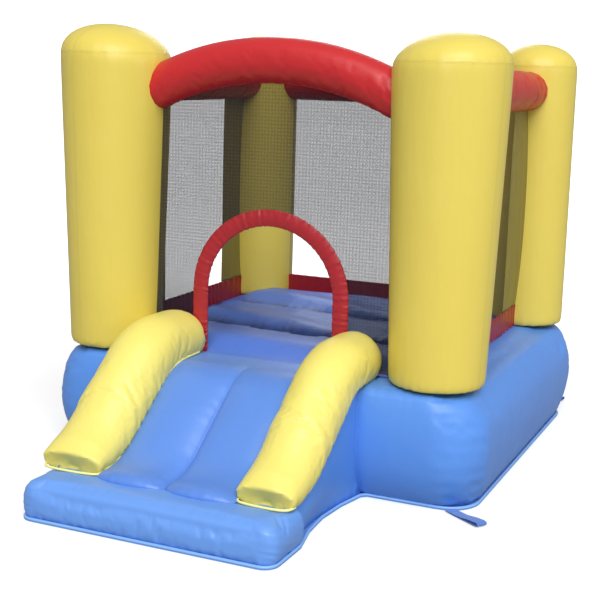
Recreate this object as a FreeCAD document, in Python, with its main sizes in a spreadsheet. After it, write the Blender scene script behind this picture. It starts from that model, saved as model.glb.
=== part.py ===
"""Inflatable bounce house with a slide, a netted play space and its blower.

Frame: the origin is on the ground, midway between the four corner posts.
+X runs to the right for someone who faces the slide, +Y runs from the slide
to the back of the house, and +Z is up.  All sizes are millimetres.

Air-filled chambers are thin closed shells of cloth.  The spreadsheet holds
the driving dimensions, and every sub-part takes its sizes from it.
"""
import FreeCAD, Part
import math
import os
import Sketcher
from FreeCAD import Placement, Rotation, Vector

doc = FreeCAD.newDocument("BounceHouse")
sheet = doc.addObject("Spreadsheet::Sheet", "Dimensions")

DIMENSIONS = [
    # alias, value, what it is
    ("cloth", 1.6, "modelled thickness of the coated cloth"),
    ("deck_height", 475, "top of the inflated base, where the posts stand"),
    ("base_half_width", 943, "base, half its width at the ground seam"),
    ("base_half_depth", 840, "base, half its depth at the ground seam"),
    ("base_corner", 125, "corner radius of the ground seam"),
    ("side_bulge", 45, "how far the left and right walls swell out"),
    ("end_bulge", 92, "how far the front and back walls swell out"),
    ("side_lip", 22, "how far the deck edge stands out at the sides"),
    ("end_lip", 78, "how far the deck edge stands out at front and back"),
    ("bulge_height", 240, "height of the widest line of the base"),
    ("hem", 10, "sewn flange of the ground sheet"),
    ("cell_half_length", 700, "jump floor cells, half their reach front to back"),
    ("cell_half_width", 550, "jump floor cells, half their width"),
    ("cell_rise", 35, "how far a floor cell domes above its seams"),
    ("post_x", 750, "post axis from the middle, across"),
    ("post_y", 715, "post axis from the middle, front to back"),
    ("post_foot_radius", 195, "post radius where it meets the deck"),
    ("front_post_radius", 232, "front post radius at the shoulder"),
    ("rear_post_radius", 190, "rear post radius at the shoulder"),
    ("post_shoulder", 1740, "height of the post shoulder"),
    ("post_apex", 1850, "height of the post dome, the top of the house"),
    ("shoulder_round", 75, "rounding of the post shoulder"),
    ("dome_swell", 18, "how far a post dome swells above a plain cone"),
    ("beam_radius", 90, "radius of the red beams"),
    ("beam_height", 1616, "axis height of the straight beams"),
    ("arch_crown", 1722, "axis height of the front beam at its middle"),
    ("arch_bend", 1243, "radius that the front beam's axis is bent to"),
    ("door_radius", 290, "clear half width of the doorway"),
    ("door_spring", 757, "height where the doorway arch starts"),
    ("trim_width", 70, "width of the red doorway binding"),
    ("trim_thickness", 9, "thickness of the doorway binding"),
    ("skirt_height", 110, "height of the red strip round the floor"),
    ("strip_reach", 290, "half length of the side nets, up to the side strips"),
    ("slide_half_width", 475, "slide, half its width at the side walls"),
    ("bed_half_width", 298.5, "slide bed, half its width between the bolsters"),
    ("bed_rise", 26, "how far each bed chamber domes above its seams"),
    ("slide_start", 850, "where the bed starts on the deck"),
    ("slide_brow", 905, "where the bed starts to fall"),
    ("brow_radius", 250, "bend of the slide at the top"),
    ("runout_radius", 300, "bend of the slide at the bottom"),
    ("slide_slope", 40.3, "fall of the slide, degrees"),
    ("runout_height", 150, "height of the bed at its lower end"),
    ("foot_back", 1492, "back of the foot cushion"),
    ("foot_front", 1700, "front of the foot cushion"),
    ("foot_half_width", 522, "foot cushion, half its width"),
    ("foot_height", 150, "foot cushion, height"),
    ("foot_round", 62, "rounding of the foot cushion's front"),
    ("bolster_x", 405, "bolster axis from the middle"),
    ("bolster_radius", 120, "bolster radius"),
    ("bolster_lift", 60, "bolster axis above the slide line"),
    ("bolster_start", 735, "upper end of the bolsters"),
    ("strap_length", 180, "anchor loop, from its seam to the eye's middle"),
    ("strap_width", 50, "webbing width of the anchor loops"),
    ("strap_eye", 10, "outer radius of the eye of an anchor loop"),
    ("webbing", 2, "webbing thickness"),
    ("strap_gap", 15, "clear space between the hem and an anchor loop"),
    ("zip_length", 300, "deflation zip, length"),
    ("zip_width", 34, "deflation zip, width"),
    ("zip_x", 480, "middle of the deflation zip, across"),
    ("blower_x", -450, "blower, middle across"),
    ("blower_y", 1330, "blower axis, behind the middle"),
    ("blower_z", 175, "blower axis, height"),
    ("scroll_radius", 130, "blower housing radius"),
    ("scroll_width", 130, "blower housing width"),
    ("nozzle_side", 110, "side of the square outlet nozzle"),
    ("nozzle_reach", 190, "outlet nozzle, from the blower axis to its end"),
    ("housing_wall", 2.5, "blower housing wall"),
    ("intake_radius", 62, "air intake radius"),
    ("sleeve_radius", 82, "air sleeve radius"),
    ("sleeve_end", 1196, "outer end of the air sleeve"),
    ("impeller_radius", 95, "impeller radius"),
    ("impeller_width", 88, "impeller width"),
    ("shaft_radius", 5, "motor shaft radius"),
    ("motor_radius", 42, "motor radius"),
    ("motor_length", 84, "motor length"),
    ("cover_radius", 54, "motor cover radius"),
    ("cover_length", 98, "motor cover length"),
]
for row, (alias, value, meaning) in enumerate(DIMENSIONS, 1):
    sheet.set(f"A{row}", meaning)
    sheet.set(f"B{row}", str(value))
    sheet.setAlias(f"B{row}", alias)
doc.recompute()


class Size:
    """A length as a number, with the sheet formula that gives it."""

    def __init__(self, number, text):
        self.number = number
        self.text = text

    def __add__(self, other):
        other = as_size(other)
        return Size(self.number + other.number, f"({self.text} + {other.text})")

    def __sub__(self, other):
        other = as_size(other)
        return Size(self.number - other.number, f"({self.text} - {other.text})")

    def __mul__(self, other):
        other = as_size(other)
        return Size(self.number * other.number, f"({self.text} * {other.text})")

    def __truediv__(self, other):
        other = as_size(other)
        return Size(self.number / other.number, f"({self.text} / {other.text})")

    def __neg__(self):
        return Size(-self.number, f"(0 - {self.text})")

    __radd__ = __add__
    __rmul__ = __mul__


def as_size(value):
    return value if isinstance(value, Size) else Size(value, str(value))


def dim(alias):
    return Size(float(sheet.get(alias)), f"Dimensions.{alias}")


# ---------------------------------------------------------------- helpers

def bind(thing, prop, size):
    thing.setExpression(prop, as_size(size).text)


def place(thing, position, rotation=None):
    """Put an object at a place given by sizes, turned by a fixed rotation."""
    thing.Placement = Placement(Vector(0, 0, 0), rotation or Rotation())
    for axis, size in zip("xyz", position):
        bind(thing, f"Placement.Base.{axis}", size)


def new_body(label):
    body = doc.addObject("PartDesign::Body", label)
    body.Label = label
    return body


def new_sketch(body, name, role="XY_Plane", lift=None):
    sketch = body.newObject("Sketcher::SketchObject", name)
    plane = [item for item in body.Origin.OriginFeatures if item.Role == role][0]
    sketch.AttachmentSupport = (plane, [""])
    sketch.MapMode = "FlatFace"
    if lift is not None:
        bind(sketch, "AttachmentOffset.Base.z", lift)
    return sketch


def name_and_bind(sketch, index, name, size):
    sketch.renameConstraint(index, name)
    bind(sketch, f"Constraints.{name}", size)


def pin(sketch, curve, end, x, y, name):
    """Hold one end of a curve at (x, y), both from the sheet."""
    x, y = as_size(x), as_size(y)
    across = sketch.addConstraint(Sketcher.Constraint("DistanceX", -1, 1, curve, end, x.number))
    name_and_bind(sketch, across, f"{name}_x", x)
    up = sketch.addConstraint(Sketcher.Constraint("DistanceY", -1, 1, curve, end, y.number))
    name_and_bind(sketch, up, f"{name}_y", y)


def outline(sketch, points, sags=None):
    """Close a loop through the points, with an arc where a sag is given.

    A sag is how far an arc's middle stands to the left of its chord.
    """
    sags = sags or {}
    first = sketch.GeometryCount
    corners = [Vector(as_size(x).number, as_size(y).number, 0) for x, y in points]
    for index, start in enumerate(corners):
        end = corners[(index + 1) % len(corners)]
        if index in sags:
            sag = as_size(sags[index]).number
            chord = end - start
            left = Vector(-chord.y, chord.x, 0).normalize()
            middle = (start + end) * 0.5 + left * sag
            sketch.addGeometry(Part.Arc(start, middle, end), False)
        else:
            sketch.addGeometry(Part.LineSegment(start, end), False)
    for index, (x, y) in enumerate(points):
        curve = first + index
        # an arc that bends right is stored end for end
        end_id = start_end(sketch, curve, corners[index])
        pin(sketch, curve, end_id, x, y, f"p{curve}")
        following = first + (index + 1) % len(points)
        joint = corners[(index + 1) % len(corners)]
        sketch.addConstraint(Sketcher.Constraint(
            "Coincident", curve, start_end(sketch, curve, joint),
            following, start_end(sketch, following, joint)))
        if index in sags:
            radius = arc_radius(points[index], points[(index + 1) % len(points)], sags[index])
            row = sketch.addConstraint(Sketcher.Constraint("Radius", curve, radius.number))
            name_and_bind(sketch, row, f"r{curve}", radius)


def start_end(sketch, curve, point):
    """Which end of a curve, 1 or 2, lies at a point."""
    away = [(sketch.getPoint(curve, end) - point).Length for end in (1, 2)]
    return 1 if away[0] <= away[1] else 2


def arc_radius(start, end, sag):
    """Radius of the arc over a chord, from the size of its sag."""
    across = as_size(end[0]) - start[0]
    along = as_size(end[1]) - start[1]
    sag = as_size(sag)
    if sag.number < 0:
        sag = -sag
    return (across * across + along * along) / (sag * 8) + sag / 2


def pad(body, sketch, length, midplane=False, reverse=False):
    feature = body.newObject("PartDesign::Pad", f"{body.Name}_{sketch.Name}_pad")
    feature.Profile = sketch
    feature.Length = as_size(length).number
    feature.Midplane = midplane
    feature.Reversed = reverse
    bind(feature, "Length", length)
    return feature


def pocket(body, sketch, length, midplane=False, reverse=False):
    doc.recompute()
    before = body.Shape.Volume
    feature = body.newObject("PartDesign::Pocket", f"{body.Name}_{sketch.Name}_pocket")
    feature.Profile = sketch
    feature.Length = as_size(length).number
    feature.Midplane = midplane
    feature.Reversed = reverse
    bind(feature, "Length", length)
    doc.recompute()
    if body.Shape.Volume >= before:
        raise RuntimeError(f"{feature.Name} cut nothing")
    return feature


def circle(sketch, radius, x=0, y=0):
    curve = sketch.addGeometry(
        Part.Circle(Vector(as_size(x).number, as_size(y).number, 0), Vector(0, 0, 1),
                    as_size(radius).number), False)
    pin(sketch, curve, 3, x, y, f"c{curve}")
    row = sketch.addConstraint(Sketcher.Constraint("Radius", curve, as_size(radius).number))
    name_and_bind(sketch, row, f"r{curve}", radius)


def rectangle(sketch, x0, x1, y0, y1):
    outline(sketch, [(x0, y0), (x1, y0), (x1, y1), (x0, y1)])


def rounded_rectangle(sketch, half_x, half_y, radius):
    """Four sides and four corner arcs about the sketch's origin."""
    half_x, half_y, radius = as_size(half_x), as_size(half_y), as_size(radius)
    first = sketch.GeometryCount
    wide, deep, bend = half_x.number, half_y.number, radius.number
    turns = [(1, -1, 270), (1, 1, 0), (-1, 1, 90), (-1, -1, 180)]
    centres = [Vector(sx * (wide - bend), sy * (deep - bend), 0) for sx, sy, _ in turns]
    for index, (sx, sy, angle) in enumerate(turns):
        begin, finish = math.radians(angle), math.radians(angle + 90)
        arc = Part.ArcOfCircle(Part.Circle(centres[index], Vector(0, 0, 1), bend), begin, finish)
        sketch.addGeometry(arc, False)
        following = centres[(index + 1) % 4]
        outward = Vector(math.cos(finish), math.sin(finish), 0) * bend
        sketch.addGeometry(Part.LineSegment(centres[index] + outward, following + outward), False)
    for index in range(4):
        arc = first + 2 * index
        side = arc + 1
        following = first + (2 * index + 2) % 8
        sketch.addConstraint(Sketcher.Constraint("Tangent", arc, 2, side, 1))
        sketch.addConstraint(Sketcher.Constraint("Tangent", side, 2, following, 1))
    sx, sy, _ = turns[0]
    pin(sketch, first, 3, half_x - radius, radius - half_y, f"low{first}")
    pin(sketch, first + 4, 3, radius - half_x, half_y - radius, f"high{first}")
    for index in range(4):
        arc = first + 2 * index
        row = sketch.addConstraint(Sketcher.Constraint("Radius", arc, bend))
        name_and_bind(sketch, row, f"r{arc}", radius)


def box(label, low, high):
    """A box between two corners given by sizes."""
    solid = doc.addObject("Part::Box", label)
    solid.Label = label
    for prop, start, end in zip(("Length", "Width", "Height"), low, high):
        bind(solid, prop, as_size(end) - start)
    place(solid, low)
    return solid


TURN = {
    "x": Rotation(Vector(0, 1, 0), 90),
    "y": Rotation(Vector(1, 0, 0), -90),
    "z": Rotation(),
}


def cylinder(label, axis, start, radius, length):
    """A cylinder that grows from start along +x, +y or +z."""
    solid = doc.addObject("Part::Cylinder", label)
    solid.Label = label
    bind(solid, "Radius", radius)
    bind(solid, "Height", length)
    place(solid, start, TURN[axis])
    return solid


def cut(label, base, tool):
    result = doc.addObject("Part::Cut", label)
    result.Label = label
    result.Base = base
    result.Tool = tool
    return result


def fuse(label, pieces):
    result = doc.addObject("Part::MultiFuse", label)
    result.Label = label
    result.Shapes = pieces
    return result


def common(label, pieces):
    result = doc.addObject("Part::MultiCommon", label)
    result.Label = label
    result.Shapes = pieces
    return result


def group(label, pieces):
    """Separate solids that share one node."""
    result = doc.addObject("Part::Compound", label)
    result.Label = label
    result.Links = pieces
    return result


def tube(label, axis, start, radius, wall, length):
    """A round sleeve with open ends."""
    outer = cylinder(f"{label}_outer", axis, start, radius, length)
    inner = cylinder(f"{label}_inner", axis, start, radius - wall, length)
    return cut(label, outer, inner)


# radial gap between a turning shaft and its bore
RUNNING_GAP = 0.1
NODES = []


def keep(*pieces):
    """List the pieces that are written as nodes."""
    NODES.extend(pieces)


cloth = dim("cloth")
deck = dim("deck_height")
post_x = dim("post_x")
post_y = dim("post_y")


# ------------------------------------------------------------ base and floor

def base_sections(inset):
    """Height, half width, half depth and corner radius of each base section."""
    wide, deep = dim("base_half_width"), dim("base_half_depth")
    side, end = dim("side_bulge"), dim("end_bulge")
    corner, middle = dim("base_corner"), dim("bulge_height")
    top = deck - cloth
    # the quarter sections swell by three quarters of the bulge
    return [
        (cloth, wide - inset, deep - inset, corner - inset),
        (middle / 2, wide + side * 0.75 - inset, deep + end * 0.78 - inset,
         corner + side * 0.5 - inset),
        (middle, wide + side - inset, deep + end - inset, corner + side * 0.8 - inset),
        ((middle + top) / 2, wide + side * 0.82 - inset, deep + end * 0.98 - inset,
         corner + side * 0.7 - inset),
        (top, wide + dim("side_lip") - inset, deep + dim("end_lip") - inset,
         corner + side * 0.4 - inset),
    ]


def base_loft(body, kind, inset):
    """A barrel-sided block through the base sections, added or taken away."""
    sketches = []
    for number, (height, half_x, half_y, corner) in enumerate(base_sections(inset)):
        sketch = new_sketch(body, f"{body.Name}_{kind}_{number}", "XY_Plane", height)
        rounded_rectangle(sketch, half_x, half_y, corner)
        sketches.append(sketch)
    doc.recompute()
    feature = body.newObject(f"PartDesign::{kind}Loft", f"{body.Name}_{kind}")
    feature.Profile = sketches[0]
    feature.Sections = sketches[1:]
    return feature


def make_base():
    block = new_body("base_block")
    base_loft(block, "Additive", Size(0, "0"))
    wall = new_body("base_wall")
    base_loft(wall, "Additive", Size(0, "0"))
    base_loft(wall, "Subtractive", cloth)

    ground = new_body("ground_sheet")
    outline_sketch = new_sketch(ground, "ground_outline")
    hem = dim("hem")
    rounded_rectangle(outline_sketch, dim("base_half_width") + hem,
                      dim("base_half_depth") + hem, dim("base_corner") + hem)
    pad(ground, outline_sketch, cloth)
    tongue = new_sketch(ground, "tongue_outline")
    side = dim("slide_half_width") + hem
    foot = dim("foot_half_width") + hem
    outline(tongue, [
        (-side, 0), (-side, -dim("foot_back")), (-foot, -dim("foot_back")),
        (-foot, -dim("foot_front") - hem), (foot, -dim("foot_front") - hem),
        (foot, -dim("foot_back")), (side, -dim("foot_back")), (side, 0)])
    pad(ground, tongue, cloth)

    web_top = deck - cloth
    reach = dim("base_half_width") - cloth * 3
    seam = dim("cell_half_length") / 3
    webs = []
    for name, where in (("front", -seam), ("rear", seam)):
        webs.append(box(f"baffle_{name}", (-reach, where - cloth / 2, cloth),
                        (reach, where + cloth / 2, web_top)))
    keep(ground, wall, group("floor_baffles", webs))
    return block


def make_floor():
    """The deck skin: a flat border for the posts round three domed cells."""
    border = new_body("deck_border")
    edge = new_sketch(border, "deck_edge", "XY_Plane", deck - cloth)
    rounded_rectangle(edge, dim("base_half_width") + dim("side_lip"),
                      dim("base_half_depth") + dim("end_lip"),
                      dim("base_corner") + dim("side_bulge") * 0.4)
    pad(border, edge, cloth)
    half_x, half_y = dim("cell_half_width"), dim("cell_half_length")
    hole = new_sketch(border, "cell_opening", "XY_Plane", deck - cloth)
    rectangle(hole, -half_x, half_x, -half_y, half_y)
    pocket(border, hole, cloth, reverse=True)

    cells = new_body("floor_cells")
    section = new_sketch(cells, "cell_section", "YZ_Plane")
    pitch = half_y * 2 / 3
    low, high = deck - cloth, deck
    rise = dim("cell_rise")
    seams = [-half_y + pitch * number for number in range(4)]
    under = [(seam, low) for seam in seams]
    over = [(seam, high) for seam in reversed(seams)]
    outline(section, under + over,
            {0: rise, 1: rise, 2: rise, 4: -rise, 5: -rise, 6: -rise})
    pad(cells, section, half_x * 2, midplane=True)
    keep(fuse("jump_floor", [border, cells]))


# ------------------------------------------------------------------- posts

def domed_tube(label, top, inset):
    """A solid tapered post with a domed top and a rounded shoulder."""
    body = new_body(label)
    profile = new_sketch(body, f"{label}_profile", "XZ_Plane")
    shoulder = dim("post_shoulder") - deck - inset / 2
    outline(profile, [(0, 0), (dim("post_foot_radius") - inset, 0), (dim(top) - inset, shoulder),
                      (0, dim("post_apex") - deck - inset)],
            {2: -dim("dome_swell")})
    turned = body.newObject("PartDesign::Revolution", f"{label}_turned")
    turned.Profile = profile
    turned.ReferenceAxis = (profile, ["V_Axis"])
    turned.Angle = 360
    doc.recompute()
    rounded = body.newObject("PartDesign::Fillet", f"{label}_round")
    rounded.Base = (turned, [edge_at(turned.Shape, shoulder.number)])
    round_off = dim("shoulder_round") - inset
    rounded.Radius = round_off.number
    bind(rounded, "Radius", round_off)
    return body


def make_posts():
    """Four tapered tubes with domed tops, and the solid space they fill."""
    solids = []
    for row, side_y, top in (("front", -1, "front_post_radius"), ("rear", 1, "rear_post_radius")):
        for column, side_x in (("left", -1), ("right", 1)):
            name = f"{row}_{column}"
            spot = (post_x * side_x, post_y * side_y, deck)
            skin = domed_tube(f"{name}_skin", top, Size(0, "0"))
            air = domed_tube(f"{name}_air", top, cloth)
            for body in (skin, air):
                place(body, spot)
            keep(cut(f"post_{name}", skin, air))

            solid = doc.addObject("Part::Cone", f"{name}_space")
            bind(solid, "Radius1", dim("post_foot_radius"))
            bind(solid, "Radius2", dim(top))
            bind(solid, "Height", dim("post_shoulder") - deck)
            place(solid, spot)
            solids.append(solid)
    return fuse("post_space", solids)


def edge_at(shape, height):
    """Name of the round edge that lies level at a height."""
    for number, edge in enumerate(shape.Edges, 1):
        level = edge.BoundBox
        if abs(level.ZMin - height) < 0.01 and abs(level.ZMax - height) < 0.01:
            return f"Edge{number}"
    raise RuntimeError(f"no level edge at {height}")


# ------------------------------------------------------------------- beams

def arched_rod(label, radius):
    """A bent round bar in the front wall's plane, ending inside the posts."""
    rod = doc.addObject("Part::Torus", label)
    bind(rod, "Radius1", dim("arch_bend"))
    bind(rod, "Radius2", radius)
    # half the arc that reaches the post axes
    reach = math.degrees(math.asin(post_x.number / dim("arch_bend").number))
    rod.Angle3 = 2 * reach
    # the torus lies flat and starts on +X, so it is turned up about its middle
    upright = Rotation(Vector(1, 0, 0), 90)
    spin = Rotation(Vector(0, 0, 1), 90 - reach)
    place(rod, (0, -post_y, dim("arch_crown") - dim("arch_bend")), upright * spin)
    return rod


def make_beams(posts):
    """Red tubes from post to post: an arch in front, straight on the others."""
    radius = dim("beam_radius")
    spaces = {}
    rod = arched_rod("front_beam_space", radius)
    hollow = cut("front_beam_tube", rod, arched_rod("front_beam_air", radius - cloth))
    keep(cut("beam_front", hollow, posts))
    spaces["front"] = rod
    level = dim("beam_height")
    for name, axis, start, length in (
            ("rear", "x", (-post_x, post_y, level), post_x * 2),
            ("left", "y", (-post_x, -post_y, level), post_y * 2),
            ("right", "y", (post_x, -post_y, level), post_y * 2)):
        spaces[name] = cylinder(f"{name}_beam_space", axis, start, radius, length)
        hollow = tube(f"{name}_beam_tube", axis, start, radius, cloth, length)
        keep(cut(f"beam_{name}", hollow, posts))
    return spaces


# ------------------------------------------------------------------- walls

def wall_panel(label, low, high, posts, beam=None):
    """A sheet trimmed to the posts, and to the beam that it hangs from."""
    sheet_box = box(f"{label}_cut", low, high)
    if beam is None:
        return cut(label, sheet_box, posts)
    return cut(label, cut(f"{label}_trim", sheet_box, posts), beam)


def make_walls(posts, beams):
    """Nets, side strips and floor skirts, each in its own wall's plane."""
    half = cloth / 2
    skirt_top = deck + dim("skirt_height")
    beam_line = dim("beam_height")
    reach = dim("strip_reach")

    across, along = post_x, post_y
    keep(wall_panel("skirt_rear", (-across, along - half, deck), (across, along + half, skirt_top),
                    posts),
         wall_panel("net_rear", (-across, along - half, skirt_top),
                    (across, along + half, beam_line), posts, beams["rear"]))
    for name, side in (("left", -1), ("right", 1)):
        inner, outer = across * side - half, across * side + half
        keep(wall_panel(f"skirt_{name}", (inner, -along, deck), (outer, along, skirt_top), posts),
             wall_panel(f"net_{name}", (inner, -reach, skirt_top), (outer, reach, beam_line),
                        posts, beams[name]),
             wall_panel(f"side_strip_{name}_front", (inner, -along, skirt_top),
                        (outer, -reach, beam_line), posts, beams[name]),
             wall_panel(f"side_strip_{name}_rear", (inner, reach, skirt_top),
                        (outer, along, beam_line), posts, beams[name]))
    make_doorway(posts, beams["front"])


def door_shape(label, radius, thickness):
    """An arched block: a half round on straight legs down to the deck."""
    start = -post_y - thickness / 2
    spring = (0, start, dim("door_spring"))
    arch = cylinder(f"{label}_arch", "y", spring, radius, thickness)
    arch.Angle = 180
    place(arch, spring, TURN["y"] * Rotation(Vector(0, 0, 1), 180))
    legs = box(f"{label}_legs", (-radius, start, deck),
               (radius, start + thickness, dim("door_spring")))
    return fuse(label, [arch, legs])


def make_doorway(posts, beam):
    """The front net with its arched doorway, and the binding round it."""
    half = cloth / 2
    clear, width = dim("door_radius"), dim("trim_width")
    top = dim("arch_crown") - dim("beam_radius") * 0.7
    panel = wall_panel("front_panel", (-post_x, -post_y - half, deck), (post_x, half - post_y, top),
                       posts, beam)
    net = cut("net_front", panel, door_shape("net_opening", clear + width / 2, cloth * 2))
    thickness = dim("trim_thickness")
    band = cut("trim_band", door_shape("trim_outside", clear + width, thickness),
               door_shape("trim_inside", clear, thickness))
    keep(net, cut("door_trim", band, net))


# ------------------------------------------------------------------- slide

def slide_line(sketch, start, lift):
    """The slide's side view: level, round the brow, down, and out level.

    Returns the number of the first of its four curves.
    """
    brow, slope = dim("slide_brow"), math.radians(dim("slide_slope").number)
    top, low = deck + lift, dim("runout_height") + lift
    bend, runout = dim("brow_radius"), dim("runout_radius")
    first = sketch.GeometryCount
    start = as_size(start)
    a = Vector(-start.number, top.number, 0)
    b = Vector(-brow.number, top.number, 0)
    hub = b - Vector(0, bend.number, 0)
    c = hub + Vector(-math.sin(slope), math.cos(slope), 0) * bend.number
    lower_hub_height = low.number + runout.number
    d_height = lower_hub_height - runout.number * math.cos(slope)
    run = (c.y - d_height) / math.tan(slope)
    d = Vector(c.x - run, d_height, 0)
    lower_hub = d + Vector(-math.sin(slope), math.cos(slope), 0) * runout.number
    e = lower_hub - Vector(0, runout.number, 0)
    sketch.addGeometry(Part.LineSegment(a, b), False)
    middle = hub + Vector(-math.sin(slope / 2), math.cos(slope / 2), 0) * bend.number
    sketch.addGeometry(Part.Arc(b, middle, c), False)
    sketch.addGeometry(Part.LineSegment(c, d), False)
    middle = lower_hub - Vector(-math.sin(slope / 2), math.cos(slope / 2), 0) * runout.number
    sketch.addGeometry(Part.Arc(d, middle, e), False)
    brow_arc, straight, low_arc = first + 1, first + 2, first + 3
    pin(sketch, first, 1, -start, top, f"start{first}")
    pin(sketch, first, 2, -brow, top, f"brow{first}")
    sketch.addConstraint(Sketcher.Constraint(
        "Tangent", first, 2, brow_arc, start_end(sketch, brow_arc, b)))
    sketch.addConstraint(Sketcher.Constraint(
        "Tangent", brow_arc, start_end(sketch, brow_arc, c), straight, 1))
    sketch.addConstraint(Sketcher.Constraint(
        "Tangent", straight, 2, low_arc, start_end(sketch, low_arc, d)))
    row = sketch.addConstraint(Sketcher.Constraint("Radius", brow_arc, bend.number))
    name_and_bind(sketch, row, f"brow_bend{first}", bend)
    row = sketch.addConstraint(Sketcher.Constraint("Radius", low_arc, runout.number))
    name_and_bind(sketch, row, f"runout_bend{first}", runout)
    last = start_end(sketch, low_arc, e)
    sketch.addConstraint(Sketcher.Constraint("Vertical", low_arc, 3, low_arc, last))
    row = sketch.addConstraint(Sketcher.Constraint("DistanceY", -1, 1, low_arc, last, low.number))
    name_and_bind(sketch, row, f"runout_level{first}", low)
    row = sketch.addConstraint(Sketcher.Constraint("DistanceY", straight, 2, straight, 1,
                                                   c.y - d.y))
    sketch.renameConstraint(row, f"fall{first}")
    slope_text = f"{dim('slide_slope').text} * 1 deg"
    drop = (top - low).text
    sketch.setExpression(
        f"Constraints.fall{first}",
        f"{drop} - ({bend.text} + {runout.text}) * (1 - cos({slope_text}))")
    return first, e


def sweep(body, section, path, kind="Additive"):
    """Run a closed section along a path sketch."""
    doc.recompute()
    feature = body.newObject(f"PartDesign::{kind}Pipe", f"{body.Name}_{section.Name}_run")
    feature.Profile = section
    edges = [f"Edge{number + 1}" for number in range(len(path.Shape.Edges))]
    feature.Spine = (path, edges)
    feature.Transition = "Transformed"
    return feature


def make_slide_skin():
    """The two-chamber sliding surface."""
    bed = new_body("slide_bed")
    path = new_sketch(bed, "bed_path", "YZ_Plane")
    slide_line(path, dim("slide_start"), cloth)
    section = new_sketch(bed, "bed_section", "XZ_Plane", dim("slide_start"))
    half, rise = dim("bed_half_width"), dim("bed_rise")
    low = deck + cloth / 2
    high = low + cloth
    outline(section, [(-half, low), (0, low), (half, low), (half, high), (0, high), (-half, high)],
            {0: rise, 1: rise, 3: -rise, 4: -rise})
    sweep(bed, section, path)
    keep(bed)


def make_bolster(name, side):
    """A fat side roll, flat where it is sewn down along the slide line."""
    body = new_body(f"bolster_{name}")
    radius, lift = dim("bolster_radius"), dim("bolster_lift")
    for kind, shrink in (("Additive", Size(0, "0")), ("Subtractive", cloth)):
        start = dim("bolster_start") + shrink
        path = new_sketch(body, f"{name}_{kind}_path", "YZ_Plane", dim("bolster_x") * side)
        slide_line(path, start, cloth)
        section = new_sketch(body, f"{name}_{kind}_section", "XZ_Plane", start)
        middle = dim("bolster_x") * side
        flat = deck + cloth / 2 + shrink
        centre = deck + lift
        chord = math.sqrt((radius.number - shrink.number) ** 2
                          - (centre.number - flat.number) ** 2)
        round_part(section, middle, centre, radius - shrink, flat, chord)
        sweep(body, section, path, kind)
        doc.recompute()
    keep(body)


def round_part(sketch, middle, centre, radius, flat, chord):
    """A circle cut off along a level line below its centre."""
    hub = Vector(middle.number, centre.number, 0)
    left = Vector(middle.number - chord, flat.number, 0)
    right = Vector(middle.number + chord, flat.number, 0)
    top = hub + Vector(0, radius.number, 0)
    sketch.addGeometry(Part.Arc(right, top, left), False)
    sketch.addGeometry(Part.LineSegment(left, right), False)
    pin(sketch, 0, 3, middle, centre, "hub")
    row = sketch.addConstraint(Sketcher.Constraint("Radius", 0, radius.number))
    name_and_bind(sketch, row, "roll_radius", radius)
    for point, end in ((left, 1), (right, 2)):
        sketch.addConstraint(Sketcher.Constraint(
            "Coincident", 0, start_end(sketch, 0, point), 1, end))
    sketch.addConstraint(Sketcher.Constraint("Horizontal", 1))
    row = sketch.addConstraint(Sketcher.Constraint("DistanceY", -1, 1, 1, 1, flat.number))
    name_and_bind(sketch, row, "flat_level", flat)


def make_slide_block(base_block):
    """The solid space under the slide, in front of the base."""
    body = new_body("slide_block")
    sketch = new_sketch(body, "slide_side_view", "YZ_Plane")
    lap = 60
    start = dim("slide_start") - lap
    first, end = slide_line(sketch, start, -cloth)
    ground = cloth
    top = Vector(-start.number, (deck - cloth).number, 0)
    corner = Vector(-start.number, ground.number, 0)
    toe = Vector(end.x, ground.number, 0)
    low_arc = first + 3
    sketch.addGeometry(Part.LineSegment(end, toe), False)
    sketch.addGeometry(Part.LineSegment(toe, corner), False)
    sketch.addGeometry(Part.LineSegment(corner, top), False)
    upright, level, back = first + 4, first + 5, first + 6
    joins = ((low_arc, start_end(sketch, low_arc, end), upright, 1), (upright, 2, level, 1),
             (level, 2, back, 1), (back, 2, first, 1))
    for curve, curve_end, following, following_end in joins:
        sketch.addConstraint(Sketcher.Constraint(
            "Coincident", curve, curve_end, following, following_end))
    sketch.addConstraint(Sketcher.Constraint("Vertical", upright))
    sketch.addConstraint(Sketcher.Constraint("Horizontal", level))
    sketch.addConstraint(Sketcher.Constraint("Vertical", back))
    row = sketch.addConstraint(Sketcher.Constraint("DistanceY", -1, 1, level, 1, ground.number))
    name_and_bind(sketch, row, "ground_level", ground)
    pad(body, sketch, dim("slide_half_width") * 2, midplane=True)
    return cut("slide_space", body, base_block)


def make_slide(base_block):
    make_slide_skin()
    for name, side in (("left", -1), ("right", 1)):
        make_bolster(name, side)
    space = make_slide_block(base_block)
    half, reach, top = dim("slide_half_width"), dim("foot_front"), deck
    panels = (("slide_side_left", -half, cloth - half), ("slide_side_right", half - cloth, half),
              ("slide_web", -cloth / 2, cloth / 2))
    for name, low, high in panels:
        slab = box(f"{name}_slab", (low, -reach, 0), (high, 0, top))
        keep(common(name, [space, slab]))

    foot = new_body("slide_foot")
    for kind, inset in (("outer", Size(0, "0")), ("inner", cloth)):
        sketch = new_sketch(foot, f"foot_{kind}", "YZ_Plane")
        back, front = -dim("foot_back") - inset, inset - dim("foot_front")
        low, high = cloth + inset, dim("foot_height") - inset
        bend = dim("foot_round")
        outline(sketch, [(back, low), (front, low), (front, high - bend), (front + bend, high),
                         (back, high)])
        length = (dim("foot_half_width") - inset) * 2
        if kind == "outer":
            pad(foot, sketch, length, midplane=True)
        else:
            pocket(foot, sketch, length, midplane=True)
    keep(foot)


# ------------------------------------------------- anchor loops and air release

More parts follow.
